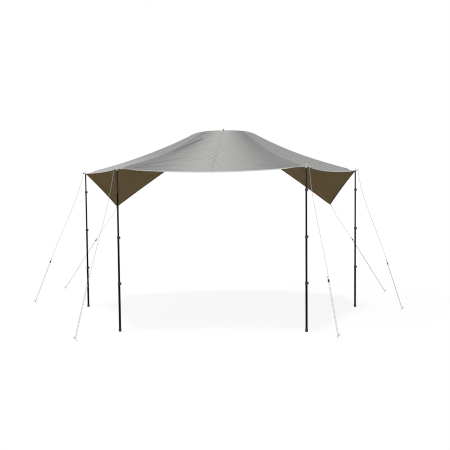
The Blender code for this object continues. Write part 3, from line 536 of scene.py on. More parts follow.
class Field:
    """A number that varies over a surface. Arithmetic on it adds Math nodes."""

    def __init__(self, nodes, socket):
        self.nodes, self.socket = nodes, socket

    def sums(self, operation, *values):
        """One Math node."""
        return self.nodes.node("ShaderNodeMath", {"operation": operation}, dict(enumerate(values)))

    def __add__(self, other):
        return self.sums("ADD", self, other)

    def __sub__(self, other):
        return self.sums("SUBTRACT", self, other)

    def __rsub__(self, other):
        return self.sums("SUBTRACT", other, self)

    def __mul__(self, other):
        return self.sums("MULTIPLY", self, other)

    __radd__, __rmul__ = __add__, __mul__

    def sine(self):
        """Its sine, in radians."""
        return self.sums("SINE", self)

    def size(self):
        """Without its sign."""
        return self.sums("ABSOLUTE", self)

    def most(self, other):
        """The larger of the two."""
        return self.sums("MAXIMUM", self, other)

    def part(self):
        """What is over a whole number."""
        return self.sums("FRACT", self)

    def above(self, edge):
        """1 above an edge and 0 below it."""
        return self.sums("GREATER_THAN", self, edge)

    def below(self, edge):
        """1 below an edge and 0 above it."""
        return self.sums("LESS_THAN", self, edge)

    def between(self, low, high):
        """0 at low to 1 at high, with level ends."""
        return self.nodes.node("ShaderNodeMapRange", {"interpolation_type": "SMOOTHSTEP"},
                               {0: self, 1: low, 2: high})


class Nodes:
    """A node tree, and the one method that adds its nodes."""

    def __init__(self, tree):
        self.tree = tree

    def node(self, kind, settings=None, sockets=None, output=0):
        """A node with its settings and then its sockets, as one of its outputs."""
        node = self.tree.nodes.new(kind)
        for key, value in (settings or {}).items():
            setattr(node, key, value)
        for key, value in (sockets or {}).items():
            self.feed(node.inputs[key], value)
        return Field(self, node.outputs[output])

    def feed(self, socket, value):
        """Link a field to a socket, or set its value."""
        if isinstance(value, Field):
            self.tree.links.new(value.socket, socket)
        else:
            socket.default_value = value

    def seen(self):
        """1 for what the camera sees itself, or in metal or through glass, and 0 for light on a piece."""
        rays = self.node("ShaderNodeLightPath").socket.node.outputs
        kinds = "Camera", "Glossy", "Transmission"
        camera, glossy, glass = (Field(self, rays[f"Is {kind} Ray"]) for kind in kinds)
        return camera + glossy + glass


FINISHES = {}


class Finish(Nodes):
    """A material being made."""

    def __init__(self, name, **sockets):
        self.material = FINISHES[name] = bpy.data.materials.new(name)
        self.material.use_nodes = True
        super().__init__(self.material.node_tree)
        self.shader = self.tree.nodes["Principled BSDF"]
        self.done(**sockets)

    def parts(self, vector):
        """The x, y and z of a vector."""
        return [Field(self, output) for output in
                self.node("ShaderNodeSeparateXYZ", None, {0: vector}).socket.node.outputs]

    def metres(self):
        """The piece's own coordinates on its surface, and their u and v in metres."""
        uv = self.node("ShaderNodeUVMap", {"uv_map": "cloth_metres"})
        return uv, *self.parts(uv)[:2]

    def place(self):
        """Object coordinates."""
        return self.node("ShaderNodeTexCoord", output=3)

    def noise(self, spot, scale, detail=3.0, stretch=None):
        """0 to 1 clouds; stretch multiplies the coordinates first."""
        if stretch:
            spot = self.node("ShaderNodeVectorMath", {"operation": "MULTIPLY"}, {0: spot, 1: stretch})
        return self.node("ShaderNodeTexNoise", None, {"Vector": spot, "Scale": scale, "Detail": detail})

    def mix(self, amount, first, second):
        """One colour where amount is 0 and another where it is 1."""
        return self.node("ShaderNodeMix", {"data_type": "RGBA"}, {0: amount, 6: first, 7: second}, 2)

    def bump(self, height, strength, distance, normal=None):
        """A normal bent by a height, over another bump's where there is one."""
        sockets = {"Height": height, "Strength": strength, "Distance": distance}
        if normal is not None:
            sockets["Normal"] = normal
        return self.node("ShaderNodeBump", None, sockets)

    def done(self, **sockets):
        """Feed the shader's sockets, named with _ for a blank."""
        for socket, value in sockets.items():
            self.feed(self.shader.inputs[socket.replace("_", " ")], value)


def linear(shade, factor=1.0):
    """A shade given as sRGB 0 to 1, as linear colour."""
    shade = np.asarray(shade, float)
    value = np.where(shade <= 0.04045, shade / 12.92, ((shade + 0.055) / 1.055) ** 2.4) * factor
    return (*np.clip(value, 0, 1).tolist(), 1.0)


def canvas(name, shade, sheen=0.12, wear_and_painted_shade=False, relief=1.0):
    """Woven polycotton: a plain weave, slubs in the thread, and faint clouds in the dye.

    Painted shade, where it is asked for: the cloth is darker towards the ridges of its centre panel, and on
    both side panels. The map cloth_threads has the panel number and share across it as u, and the share of
    the way out as v.
    """
    f = Finish(name, Roughness=0.86, Sheen_Weight=sheen, Specular_IOR_Level=0.25)
    uv, u, v = f.metres()
    weave = (u * (math.tau / THREAD)).sine() * (v * (math.tau / THREAD)).sine()
    slub = f.noise(uv, 260.0, 2.0, (1.0, 0.08, 1.0)) + f.noise(uv, 260.0, 2.0, (0.08, 1.0, 1.0))
    cloud = f.noise(uv, 2.4, 4.0)
    grain = f.noise(uv, 38.0, 5.0)
    tone = (cloud - 0.5) * 0.30 + (grain - 0.5) * 0.10 + (slub - 1.0) * 0.22 + weave * 0.05 + 0.5
    colour = f.mix(tone, linear(shade, 0.86), linear(shade, 1.14))
    if wear_and_painted_shade:
        # Painted shade: the centre panel darker towards its ridges, the left panel darker towards the arch,
        # the right panel darker all over
        around, out, _ = f.parts(f.node("ShaderNodeUVMap", {"uv_map": "cloth_threads"}))
        away = ((around - 1.48) * 2).size()
        centre = away.between(0.08, 0.92) * (around - 1.5).size().below(0.5) * (1.0 - out * 0.08)
        left = around.below(1.0) * out.between(0.85, 0.40)
        right = around.above(2.0)
        colour = f.mix(centre + left * 0.62 + right * 0.52, colour, linear(shade, 0.50))
    fine = f.bump(weave * 0.5 + slub * 0.6, 0.30 * relief, 0.0006)
    rumple = f.bump(f.noise(uv, 5.0, 3.0), 0.10 * relief, 0.006, fine)
    f.done(Base_Color=colour, Roughness=0.82 + grain * 0.08, Normal=rumple)


def sewn(name, shade, edges, thread=None, rib=0.0):
    """Folded or woven tape: ribs across it, and a line of lock stitches at each of the edges.

    u runs along the tape and v across it. A stitch is a raised dash over STITCH_SHARE of its pitch.
    """
    f = Finish(name, Roughness=0.85, Sheen_Weight=0.10, Specular_IOR_Level=0.25)
    uv, u, v = f.metres()
    line = 0.0
    for edge in edges:
        line = (v - edge).size().below(0.0005) + line
    dash = (u * (1 / STITCH_PITCH)).part().below(STITCH_SHARE)
    stitch = line * dash
    dent = line * (1 - dash)
    slub = f.noise(uv, 300.0, 2.0, (0.1, 1.0, 1.0))
    across = (v * (math.tau / RIB_THREAD)).sine() * 0.3 + 0.7
    weave = (u * (math.tau / max(rib, THREAD))).sine() * across
    cloud = f.noise(uv, 14.0, 4.0)
    # The dents between stitches are darker: painted shade in the dents
    tone = (cloud - 0.5) * 0.4 + (slub - 0.5) * 0.3 + weave * (0.10 if rib else 0.04) + 0.5 - dent * 0.3
    cloth_colour = f.mix(tone, linear(shade, 0.84), linear(shade, 1.16))
    colour = f.mix(stitch, cloth_colour, linear(thread or shade, 1.0))
    height = stitch * 0.8 - dent * 0.6 + weave * (0.5 if rib else 0.2) + slub * 0.3
    f.done(Base_Color=colour, Roughness=0.78 + cloud * 0.14, Normal=f.bump(height, 0.45, 0.0007))


def braided(name, shade, tracer):
    """Braided cord: strands cross in two spirals, with a faint tracer strand."""
    f = Finish(name, Roughness=0.7, Sheen_Weight=0.08)
    uv, u, v = f.metres()
    turn = v * (math.tau / CORD_GIRTH * STRANDS)
    right = (u * (math.tau / STRAND_LENGTH) + turn).sine()
    left = (u * (math.tau / STRAND_LENGTH) - turn).sine()
    strands = right.most(left)
    fleck = (u * (1 / TRACER_PITCH) + v * (1 / CORD_GIRTH)).part().below(0.10)
    wear_and_painted_shade = f.noise(uv, 22.0, 4.0)
    base = f.mix((wear_and_painted_shade - 0.5) * 0.5 + strands * 0.15 + 0.45, linear(shade, 0.80), linear(shade, 1.1))
    colour = f.mix(fleck * 0.35, base, linear(tracer))
    f.done(Base_Color=colour, Roughness=0.62 + wear_and_painted_shade * 0.2, Normal=f.bump(strands, 0.5, 0.0005))


def moulded(name, shade, rough=0.5):
    """Moulded nylon: a fine spark texture, with rubbed, smoother high spots."""
    f = Finish(name, Roughness=rough, Specular_IOR_Level=0.45)
    spot = f.place()
    grain = f.noise(spot, 900.0, 2.0)
    wear_and_painted_shade = f.noise(spot, 60.0, 5.0)
    colour = f.mix((wear_and_painted_shade - 0.5) * 0.8 + (grain - 0.5) * 0.4 + 0.5, linear(shade, 0.82), linear(shade, 1.22))
    f.done(Base_Color=colour, Roughness=rough - 0.10 + wear_and_painted_shade * 0.22, Normal=f.bump(grain, 0.25, 0.0003))


def drawn_tube(name, shade, metallic, rough, rubbed):
    """Drawn aluminium tube under a thin coat: fine lines along it, scuffs round it, and dust low down.

    The coat of each section is worn paler from its top to the clamp below it.
    """
    f = Finish(name, Metallic=metallic, Roughness=rough, Specular_IOR_Level=0.06)
    spot = f.place()
    z = f.parts(spot)[2]
    lines = f.noise(spot, 600.0, 3.0, (1.0, 1.0, 0.02))
    scuff = f.noise(spot, 90.0, 6.0, (1.0, 1.0, 3.0))
    mark = scuff.between(0.66, 0.78)
    dust = z.between(GROUND + 0.35, GROUND) * f.noise(spot, 18.0, 5.0)
    colour = f.mix((lines - 0.5) * 0.5 + (scuff - 0.5) * 0.3 + 0.5, linear(shade, 0.80), linear(shade, 1.25))
    low = ((z - (GROUND + SECTION_FOOT)) * (1 / SECTION_STEP)).part()
    colour = f.mix((1 - low) * (0.75 + scuff * 0.5), colour, linear(rubbed))
    colour = f.mix(mark * 0.08, colour, linear([min(1.0, c + 0.12) for c in shade]))
    colour = f.mix(dust * 0.05, colour, linear((0.55, 0.52, 0.47)))
    f.done(Base_Color=colour, Roughness=rough - 0.06 + lines * 0.10 + mark * 0.12 + dust * 0.15,
           Normal=f.bump(lines + mark * 0.4, 0.08, 0.0003))


def plated(name, shade, rough=0.3):
    """Zinc or nickel plate: metal with soft clouds in its shine and a few duller specks."""
    f = Finish(name, Metallic=1.0, Roughness=rough)
    spot = f.place()
    cloud = f.noise(spot, 70.0, 5.0)
    speck = f.noise(spot, 420.0, 3.0).between(0.62, 0.72)
    colour = f.mix(cloud * 0.7 + speck * 0.3, linear(shade, 0.86), linear(shade, 1.10))
    f.done(Base_Color=colour, Roughness=rough - 0.08 + cloud * 0.20 + speck * 0.15,
           Normal=f.bump(cloud + speck * 0.3, 0.12, 0.0004))


def floor_finish(name, grey, glow):
    """Pale floor. The camera sees it white, less a little where the object's shadow falls."""
    f = Finish(name, Base_Color=(grey, grey, grey, 1), Roughness=0.9, Specular_IOR_Level=0.1)
    spot = f.place()
    mottle = f.noise(spot, 3.0, 3.0)
    tint = f.mix(mottle, (0.105, 0.105, 0.105, 1), (0.115, 0.115, 0.115, 1))
    dim = f.node("ShaderNodeBsdfDiffuse", None, {"Color": tint})
    light = f.node("ShaderNodeEmission", None, {"Strength": glow})
    white = f.node("ShaderNodeAddShader", None, {0: light, 1: dim})
    both = f.node("ShaderNodeMixShader", None, {0: f.seen(), 1: Field(f, f.shader.outputs[0]), 2: white})
    f.feed(f.tree.nodes["Material Output"].inputs["Surface"], both)


# What a user would change

def shade_property(name, words, value):
    """A colour, from 0 to 255."""
    return FloatVectorProperty(name=name, description=words, subtype="COLOR_GAMMA", size=3, min=0, max=1,
                               default=[v / 255 for v in value])


def length_property(name, words, value):
    """A length in metres."""
    return FloatProperty(name=name, description=words, unit="LENGTH", subtype="DISTANCE", default=value,
                         min=0, precision=4)


def strength_property(name, words, value, most):
    """A number from 0 up."""
    return FloatProperty(name=name, description=words, default=value, min=0, max=most)


class AwningCloth(bpy.types.PropertyGroup):
    outside: shade_property("Outside", "Cloth seen from above", (169, 168, 167))
    inside: shade_property("Inside", "Cloth seen from below", (111, 94, 62))
    hem: shade_property("Hem", "Folded hem along the outer edge", (205, 206, 207))
    wing_hem: shade_property("Wing hem", "Folded hem along a wing's free edges", (88, 75, 51))
    # Wing seam: a real bound seam, coloured dark as a painted shadow along the wing's top under the canopy's
    # edge
    wing_seam: shade_property("Wing seam", "Bound seam between a wing and the canopy", (48, 40, 27))
    seam: shade_property("Centre seam", "Taped seam down the middle", (164, 161, 155))
    hem_width: length_property("Hem width", "Width of the folded hem", 0.024)
    seam_width: length_property("Seam width", "Width of a felled seam", 0.014)
    rows: IntProperty(name="Rows", description="Rows of cells from the arch to the outer edge", default=200,
                      min=20, max=240)


class AwningFittings(bpy.types.PropertyGroup):
    pale_webbing: shade_property("Pale webbing", "Webbing of the near corners", (224, 221, 208))
    strap: shade_property("Strap", "Webbing of the V strap", (186, 180, 165))
    dark_webbing: shade_property("Dark webbing", "Webbing of the outer corners", (24, 24, 26))
    wing_webbing: shade_property("Wing webbing", "Webbing at a wing's tip", (74, 62, 44))
    plastic: shade_property("Plastic", "Moulded hooks, toggles and levers", (30, 29, 31))
    eyelet: shade_property("Eyelets", "Pressed eyelets", (196, 192, 182))


class AwningPoles(bpy.types.PropertyGroup):
    top: shade_property("Top section", "Anodised top section", (44, 43, 44))
    lower: shade_property("Lower sections", "Coated lower sections", (9, 9, 10))
    rubbed: shade_property("Rubbed coat", "Lower end of each coated section", (24, 23, 23))
    clamp: shade_property("Clamps", "Clamp bodies", (48, 47, 52))
    spigot: shade_property("Spigots", "Moulded pins on top of the poles", (232, 232, 230))
    sides: IntProperty(name="Sides", description="Sides of each tube", default=40, min=16, max=96)


class AwningLines(bpy.types.PropertyGroup):
    cord: shade_property("Cord", "Braided guy line", (198, 197, 191))
    tracer: shade_property("Tracer", "Tracer strand in the cord", (150, 150, 148))
    slider: shade_property("Tensioners", "Moulded line sliders", (92, 87, 84))
    steel: shade_property("Steel", "Zinc plated pegs and rings", (176, 177, 180))
    diameter: length_property("Diameter", "Diameter of the guy line", 2 * CORD_RADIUS)


class AwningStage(bpy.types.PropertyGroup):
    sky: strength_property("Soft light", "Strength of the even light from all round", 0.30, 3)
    sun: strength_property("Top light", "Strength of the light from above", 1.75, 10)
    sun_size: FloatProperty(name="Top light size", description="Angle that the light from above covers",
                            subtype="ANGLE", default=math.radians(8), min=0, max=math.pi / 2)
    side: strength_property("Side light", "Strength of the soft light from the left", 1.1, 10)
    floor: strength_property("Floor", "Grey of the floor", 0.80, 1)
    glow: strength_property("Floor glow", "White that the camera sees on the floor", 0.89, 1)


# Pieces

class AWNING_OT_finishes(bpy.types.Operator):
    """Make the cloth, webbing, plastic, metal and cord finishes"""
    bl_idname = "awning.finishes"
    bl_label = "Finishes"

    def execute(self, context):
        scene = context.scene
        c, p, o, g = scene.awning_cloth, scene.awning_fittings, scene.awning_poles, scene.awning_lines
        # The canopy's outside carries painted shade on its panels
        canvas("canopy_cloth", c.outside, wear_and_painted_shade=True)
        canvas("wing_outside", c.outside)
        canvas("cloth_inside", c.inside, 0.06, relief=0.25)
        canvas("wing_cloth", c.inside, 0.06, relief=0.25)
        hem_stitches = 0.004, c.hem_width - 0.004, c.hem_width + 0.008, 2 * c.hem_width
        sewn("hem_tape", c.hem, hem_stitches)
        sewn("wing_hem_tape", c.wing_hem, hem_stitches)
        # The wing seam's dark colour is a painted shadow line under the canopy's edge
        sewn("wing_seam_tape", c.wing_seam, (0.003,))
        sewn("felled_seam", c.outside, (0.004, 0.010))
        sewn("inside_seam", c.wing_hem, (0.004, 0.010))
        sewn("centre_seam_tape", c.seam, (0.004, 0.012))
        rib = 0.0022
        sewn("pale_webbing", p.pale_webbing, (0.004,), rib=rib)
        sewn("strap_webbing", p.strap, (0.003,), rib=rib)
        sewn("dark_webbing", p.dark_webbing, (0.004,), (0.16, 0.16, 0.17), rib=rib)
        sewn("wing_webbing", p.wing_webbing, (0.004,), rib=rib)
        moulded("dark_plastic", p.plastic)
        moulded("clamp_plastic", o.clamp, 0.55)
        moulded("spigot_nylon", o.spigot, 0.45)
        moulded("slider_nylon", g.slider, 0.55)
        drawn_tube("pole_top_finish", o.top, 0.20, 0.45, o.top)
        drawn_tube("pole_black_finish", o.lower, 0.0, 0.50, o.rubbed)
        plated("bright_steel", g.steel)
        plated("eyelet_plate", p.eyelet, 0.28)
        braided("guy_cord", g.cord, g.tracer)
        return {"FINISHED"}


class AWNING_OT_canopy(bpy.types.Operator):
    """Make the canopy's four sewn panels, grey above and brown below, with a hole under each eyelet"""
    bl_idname = "awning.canopy"
    bl_label = "Canopy"

    def execute(self, context):
        steps = row_stations(context.scene.awning_cloth.rows)
        threads = thread_stations()
        for name, first, last, flat, area in PANELS:
            around, out = np.meshgrid(threads[(threads >= first) & (threads <= last)][::-1], steps)
            around = gathered(around, out)
            grid = cloth(around, out)
            keep = to_eyelet((grid[:-1, :-1] + grid[1:, 1:]) / 2) > CLOTH_HOLE
            panel = surface(name, grid, uv=grid[..., :2], keep=keep, crisp=180)
            shares = corners(np.stack((around, out), -1))[keep].astype(np.float32)
            panel.data.uv_layers.new(name="cloth_threads").data.foreach_set("uv", shares.ravel())
            thick(panel, CANOPY_THICKNESS, inner=1)
            settle(panel, ["canopy_cloth", "cloth_inside"], replaces=["canopy"])
        return {"FINISHED"}


class AWNING_OT_hems(bpy.types.Operator):
    """Sew the hems and seams of the canopy: outer hem, arched hem, two ridges and the centre seam"""
    bl_idname = "awning.hems"
    bl_label = "Hems and seams"

    def execute(self, context):
        sizes = context.scene.awning_cloth
        threads = thread_stations()
        half = CANOPY_THICKNESS / 2
        inner = np.array((0.0, 0.02, 0.25, 0.5, 0.75, 0.97, 1.0))
        share = np.concatenate((inner, (1.03,), inner[::-1]))
        lift = np.concatenate((inner * 0 + half + HEM_LIFT, (0.0,), inner * 0 - half - HEM_LIFT))
        lift[[0, -1]] = half - 0.0002, 0.0002 - half
        outer = threads[(threads > 0.0006) & (threads < 2.9994)]
        arched = gathered(threads, 0.0)
        arched[[0, -1]] = 1e-9, 3 - 1e-9
        for name, around, edge, way in (("outer_hem", outer, 1, -1), ("arched_hem", arched, 0, 1)):
            length = distance(canopy_surface(around, 0.0), canopy_surface(around, 1.0))
            out = edge + way * sizes.hem_width / length[:, None] * (1 - share)
            tape(name, cloth(around[:, None], out, lift), "hem_tape", "canopy_cloth")

        steps = row_stations(sizes.rows)
        out = steps[(steps > SEAM_START) & (steps < SEAM_END)][:, None]
        across = np.linspace(-1, 1, 9)
        step = 0.01
        for name, seam, width, finish in (("left_ridge", 1.0, sizes.seam_width, "felled_seam"),
                                          ("right_ridge", 2.0, sizes.seam_width, "felled_seam"),
                                          ("centre", 1.5, CENTRE_SEAM_WIDTH, "centre_seam_tape")):
            middle = canopy_surface(seam, out)
            before, after = (distance(middle, canopy_surface(seam + s, out)) / step for s in (-step, step))
            around = seam + across * width / 2 / np.where(across < 0, before, after)
            proud = half + SEAM_LIFT * (1 - np.abs(across) ** 6)
            for label, face, shade in (("seam", 1, finish), ("seam_inside", -1, "inside_seam")):
                outer = cloth(around, out, proud * face)
                inner = cloth(around, out, (half - GAP) * face)
                tape(f"{name}_{label}", np.concatenate((outer, inner[:, ::-1]), 1), shade, "canopy_cloth")
        return {"FINISHED"}


class AWNING_OT_wings(bpy.types.Operator):
    """Make the two side wings with their hems, and the bound seams that hold them to the canopy"""
    bl_idname = "awning.wings"
    bl_label = "Wings"

    def execute(self, context):
        sizes = context.scene.awning_cloth
        steps = row_stations(sizes.rows)
        seam = steps[(steps > 0) & (steps < WING_REACH)]
        section = rounded(*WING_SEAM_SIZE, WING_SEAM_CORNER)
        share = np.array((0.0, 0.02, 0.5, 0.98, 1.0, 1.03, 1.0, 0.98, 0.5, 0.02))
        lift = np.array((0.0, 1, 1, 1, 0.9, 0.0, -0.9, -1, -1, -1)) * (WING_THICKNESS / 2 + WING_HEM_LIFT)
        for side, name in ((-1, "wing_left"), (1, "wing_right")):
            out, down = np.meshgrid(np.linspace(0, WING_REACH, 90), np.linspace(0, 1, 70))
            grid, normal = wing_surface(side, out, down)
            length, depth = distance(grid[0, 0], grid[0, -1]), distance(grid[0, 0], grid[-1, 0])
            uv = np.stack((out * length, down * depth), -1)
            if np.cross(grid[0, 1] - grid[0, 0], grid[1, 0] - grid[0, 0]) @ normal < 0:
                grid, uv = grid[:, ::-1], uv[:, ::-1]
            sheet = surface(f"{name}_sheet", grid, uv=uv, crisp=180)
            thick(sheet, WING_THICKNESS, inner=1)
            settle(sheet, ["wing_outside", "wing_cloth"], slot="wing_cloth", replaces=[name])

            down = np.linspace(0.015, 0.9995, 80)[:, None]
            near, far = (wing_surface(side, edge, down)[0] for edge in (0.0, WING_REACH))
            span = np.minimum(sizes.hem_width / np.maximum(distance(near, far), 0.03), 0.5)
            for edge, label in ((0.0, "tent_hem"), (WING_REACH, "corner_hem")):
                inside = WING_REACH - edge
                across = edge + (inside - edge) / WING_REACH * span * (1 - share[None])
                points, facing = wing_surface(side, across, down)
                tape(f"{name}_{label}", points + facing * lift[None, :, None], "wing_hem_tape", "wing_cloth")
            end = 0.0 if side < 0 else 3.0
            path, level = canopy_surface(end, seam), canopy_normal(end, seam)
            # The bound seam is a real piece, coloured dark as a painted shadow under the canopy's edge
            settle(swept(f"{name}_seam", path, section, level, crisp=60), "wing_seam_tape", slot="wing_cloth")
        return {"FINISHED"}


def wing_tip(name):
    """Where a wing's webbing is: its middle, its way out, the cloth's normal, and its hole and ring."""
    side = -1 if name.endswith("left") else 1
    tip = np.array((side * WING_TIP[0], WING_TIP[1], WING_TIP[2]))
    normal = wing_surface(side, 0.5, 0.5)[1]
    line = np.array((*PEG_PLACES[name], GROUND)) - tip
    way = unit(line - normal * (line @ normal))
    centre = tip + normal * (WING_THICKNESS / 2 - GAP + WEBBING_THICKNESS / 2)
    hole = WING_TAB["outer"] - RING_RADIUS + RING_WIRE
    ring = hole + TAB_HOLE - RING_WIRE - GAP + RING_RADIUS
    return centre, way, normal, hole, ring


def webbing(name, path, width, level, holes, finish, **more):
    """A webbing strip along a flat path, with round holes at distances along it.

    Each hole is a gap in the grid, and the points nearest to its circle are drawn onto it.
    """
    cell, pull = 0.0009, 0.0007
    path = np.asarray(path, float)
    steps = np.concatenate(([0], np.cumsum(distance(path[:-1], path[1:]))))
    run = np.linspace(0, steps[-1], max(24, int(steps[-1] / cell)))
    path = np.stack([np.interp(run, steps, path[:, i]) for i in range(3)], -1)
    across = np.linspace(-width / 2, width / 2, max(20, int(width / cell)))
    tangent = unit(np.gradient(path, axis=0))
    side = unit(np.cross(tangent, level))
    u, v = np.meshgrid(run, across, indexing="ij")
    du, dv = u.copy(), v.copy()
    keep = np.ones((len(run) - 1, len(across) - 1), bool)
    middle = ((u[:-1, :-1] + u[1:, 1:]) / 2, (v[:-1, :-1] + v[1:, 1:]) / 2)
    for place, radius in holes:
        keep &= np.hypot(middle[0] - place, middle[1]) > radius
        away = np.hypot(u - place, v)
        near = np.abs(away - radius) < pull
        factor = np.where(near, radius / np.maximum(away, 1e-6), 1.0)
        du, dv = place + (du - place) * factor, dv * factor
    spot, aside = (np.stack([np.interp(du, run, line[:, i]) for i in range(3)], -1) for line in (path, side))
    grid = spot + unit(aside) * dv[..., None]
    strip = surface(name, grid, uv=np.stack((du, dv + width / 2), -1), keep=keep, crisp=180)
    thick(strip, WEBBING_THICKNESS)
    settle(strip, finish, **more)


def tab_line(tab):
    """A corner tab's middle in its own plane: level, then an arc down to its slope, then straight."""
    angle = np.linspace(0, tab["slope"], 6)
    bend = np.stack((tab["flat"] + TAB_BEND * np.sin(angle), TAB_BEND * (np.cos(angle) - 1)), -1)
    leg = np.array((math.cos(tab["slope"]), -math.sin(tab["slope"])))
    end = bend[-1] + leg * tab["leg"]
    return np.vstack(((-tab["inner"], 0.0), bend, end)), end - leg * TAB_HOLE_INSET


def tab_axes(name):
    """A corner tab's origin over its eyelet, and its horizontal way out to the peg."""
    x, y, _ = FEET[f"{name}_foot"]
    way = unit(np.array((PEG_PLACES[name][0] - x, PEG_PLACES[name][1] - y, 0.0)))
    return np.array((x, y, CORNER_Z + EYELET_FACE + GAP + WEBBING_THICKNESS / 2)), way


class AWNING_OT_fittings(bpy.types.Operator):
    """Make the tabs, eyelets, rings, hooks, V strap and toggle"""
    bl_idname = "awning.fittings"
    bl_label = "Fittings"

    def execute(self, context):
        for name in POLES:
            self.tab(name)
            self.eyelet(name)
        for name in ("wing_left", "wing_right"):
            self.wing_webbing(name)
            self.ring(name)
        for node in ("centre_hook", "left_clip", "right_clip"):
            settle(softened(f"{node}_strip", node, 0.0006), "dark_plastic", replaces=[node])
        self.strap()
        self.toggle()
        return {"FINISHED"}

    def tab(self, name):
        """Webbing over the eyelet that slopes to the line's hole."""
        tab = TABS[name.split("_")[0]]
        finish = "pale_webbing" if name.startswith("near") else "dark_webbing"
        origin, way = tab_axes(name)
        line = tab_line(tab)[0]
        path = origin + line[:, :1] * way + line[:, 1:] * UP
        length = distance(path[:-1], path[1:]).sum()
        webbing(f"{name}_tab_strip", path, tab["width"], UP,
                [(tab["inner"], EYELET_BORE), (length - TAB_HOLE_INSET, TAB_HOLE)], finish,
                replaces=[f"{name}_tab"])

    def eyelet(self, name):
        """Two pressed flanges, each a turned ring with a rolled rim, above and below the cloth."""
        x, y, _ = FEET[f"{name}_foot"]
        low, high = CANOPY_THICKNESS / 2 - 0.0002, EYELET_FACE
        for label, face in (("upper", 1), ("lower", -1)):
            profile = [(EYELET_BORE, 0.0), (EYELET_BORE, high - 0.0003), (EYELET_BORE + 0.0004, high),
                       (EYELET_BORE + 0.0020, high), (EYELET_FLANGE - 0.0010, high - 0.0003),
                       (EYELET_FLANGE, low + 0.0002), (EYELET_FLANGE, low), (EYELET_BORE + 0.0010, low),
                       (EYELET_BORE + 0.0010, 0.0)]
            profile = [(r, z * face) for r, z in profile]
            settle(turned(f"{name}_eyelet_{label}", profile, (x, y, CORNER_Z), ring=True), "eyelet_plate",
                   slot="bright_steel")

    def wing_webbing(self, name):
        """A straight strip on the wing's tip, with the ring's hole."""
        centre, way, normal, hole, _ = wing_tip(name)
        path = centre + np.array((-WING_TAB["inner"], 0.0, WING_TAB["outer"]))[:, None] * way
        webbing(f"{name}_tip_strip", path, WING_TAB["width"], normal, [(WING_TAB["inner"] + hole, TAB_HOLE)],
                "wing_webbing", slot="wing_cloth")

    def ring(self, name):
        """A circle of wire carried round a circle, through the webbing's hole."""
        centre, way, normal, _, ring = wing_tip(name)
        middle = centre + way * ring
        turn = circle(1.0, 48)
        loop = middle + RING_RADIUS * (turn[:, :1] * way + turn[:, 1:] * normal)
        wire = circle(RING_WIRE, 12)
        spoke = unit(loop - middle)[:, None]
        grid = loop[:, None] + spoke * wire[:, :1] + np.cross(way, normal) * wire[:, 1:]
        torus = surface(f"{name}_ring_wire", np.concatenate((grid, grid[:1])), wrap=True)
        outward(torus.data, MERGE)
        settle(torus, "bright_steel", replaces=[f"{name}_ring"])

    def strap(self):
        """Two webbing legs from the arched edge that meet on the centre seam, and run down it as one."""
        length = math.hypot(NEAR_REACH, HOOK_HEIGHT - CORNER_HEIGHT)
        run = np.linspace(0, 1, 50)
        out = (STRAP_START + STRAP_LENGTH * run) / length
        spread = np.maximum(STRAP_SPREAD * (1 - run * 6 / 5), 0.0) + STRAP_INNER
        half = np.abs(canopy_surface(2.0, out)[:, 0])
        rise = CANOPY_THICKNESS / 2 + SOFT_GAP + STRAP_THICKNESS / 2
        for sign, label in ((-1, "left"), (1, "right")):
            across = sign * (spread[:, None] + STRAP_WIDTH * np.linspace(0, 1, 9))
            around = 1.5 + across / (2 * half[:, None])
            top, low = (cloth(around, out[:, None], rise + face * STRAP_THICKNESS / 2) for face in (1, -1))
            grid = np.concatenate((top, low[:, ::-1]), 1)
            tape(f"centre_strap_{label}", grid, "strap_webbing", "pale_webbing", replaces=["centre_strap"])

    def toggle(self):
        """A waisted barrel with a cord loop up to the hem."""
        low, high = (np.array(v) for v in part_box("hem_toggle"))
        centre = (low + high) / 2
        radius = (high[0] - low[0]) / 2
        s = np.linspace(-1, 1, 25)
        profile = np.stack((radius * (0.80 + 0.20 * s ** 2) * np.sqrt(np.maximum(1 - np.abs(s) ** 9, 0)),
                            s * (high[2] - low[2]) / 2), -1)
        settle(turned("hem_toggle_barrel", profile[::-1], centre, 28), "dark_plastic",
               replaces=["hem_toggle"])
        bend = radius + 0.0016
        flat = arc((0, 0), bend, 0, math.pi, 17)
        loop = np.stack((flat[:, 0], 0 * flat[:, 0], flat[:, 1]), -1)
        path = centre + np.vstack((loop[:1] - (0, 0, 0.008), loop, loop[-1:] - (0, 0, 0.008)))
        settle(swept("hem_toggle_loop", path + (0, 0, (high[2] - low[2]) / 2 - bend), circle(0.0011, 8),
                     (0, 1, 0)), "dark_webbing")


def groove(radius, height, half, floor, depth):
    """A groove in a profile: its two edges half away from a height, and its floor's ends depth in."""
    return [(radius, height - half), (radius - depth, height - floor), (radius - depth, height + floor),
            (radius, height + half)]


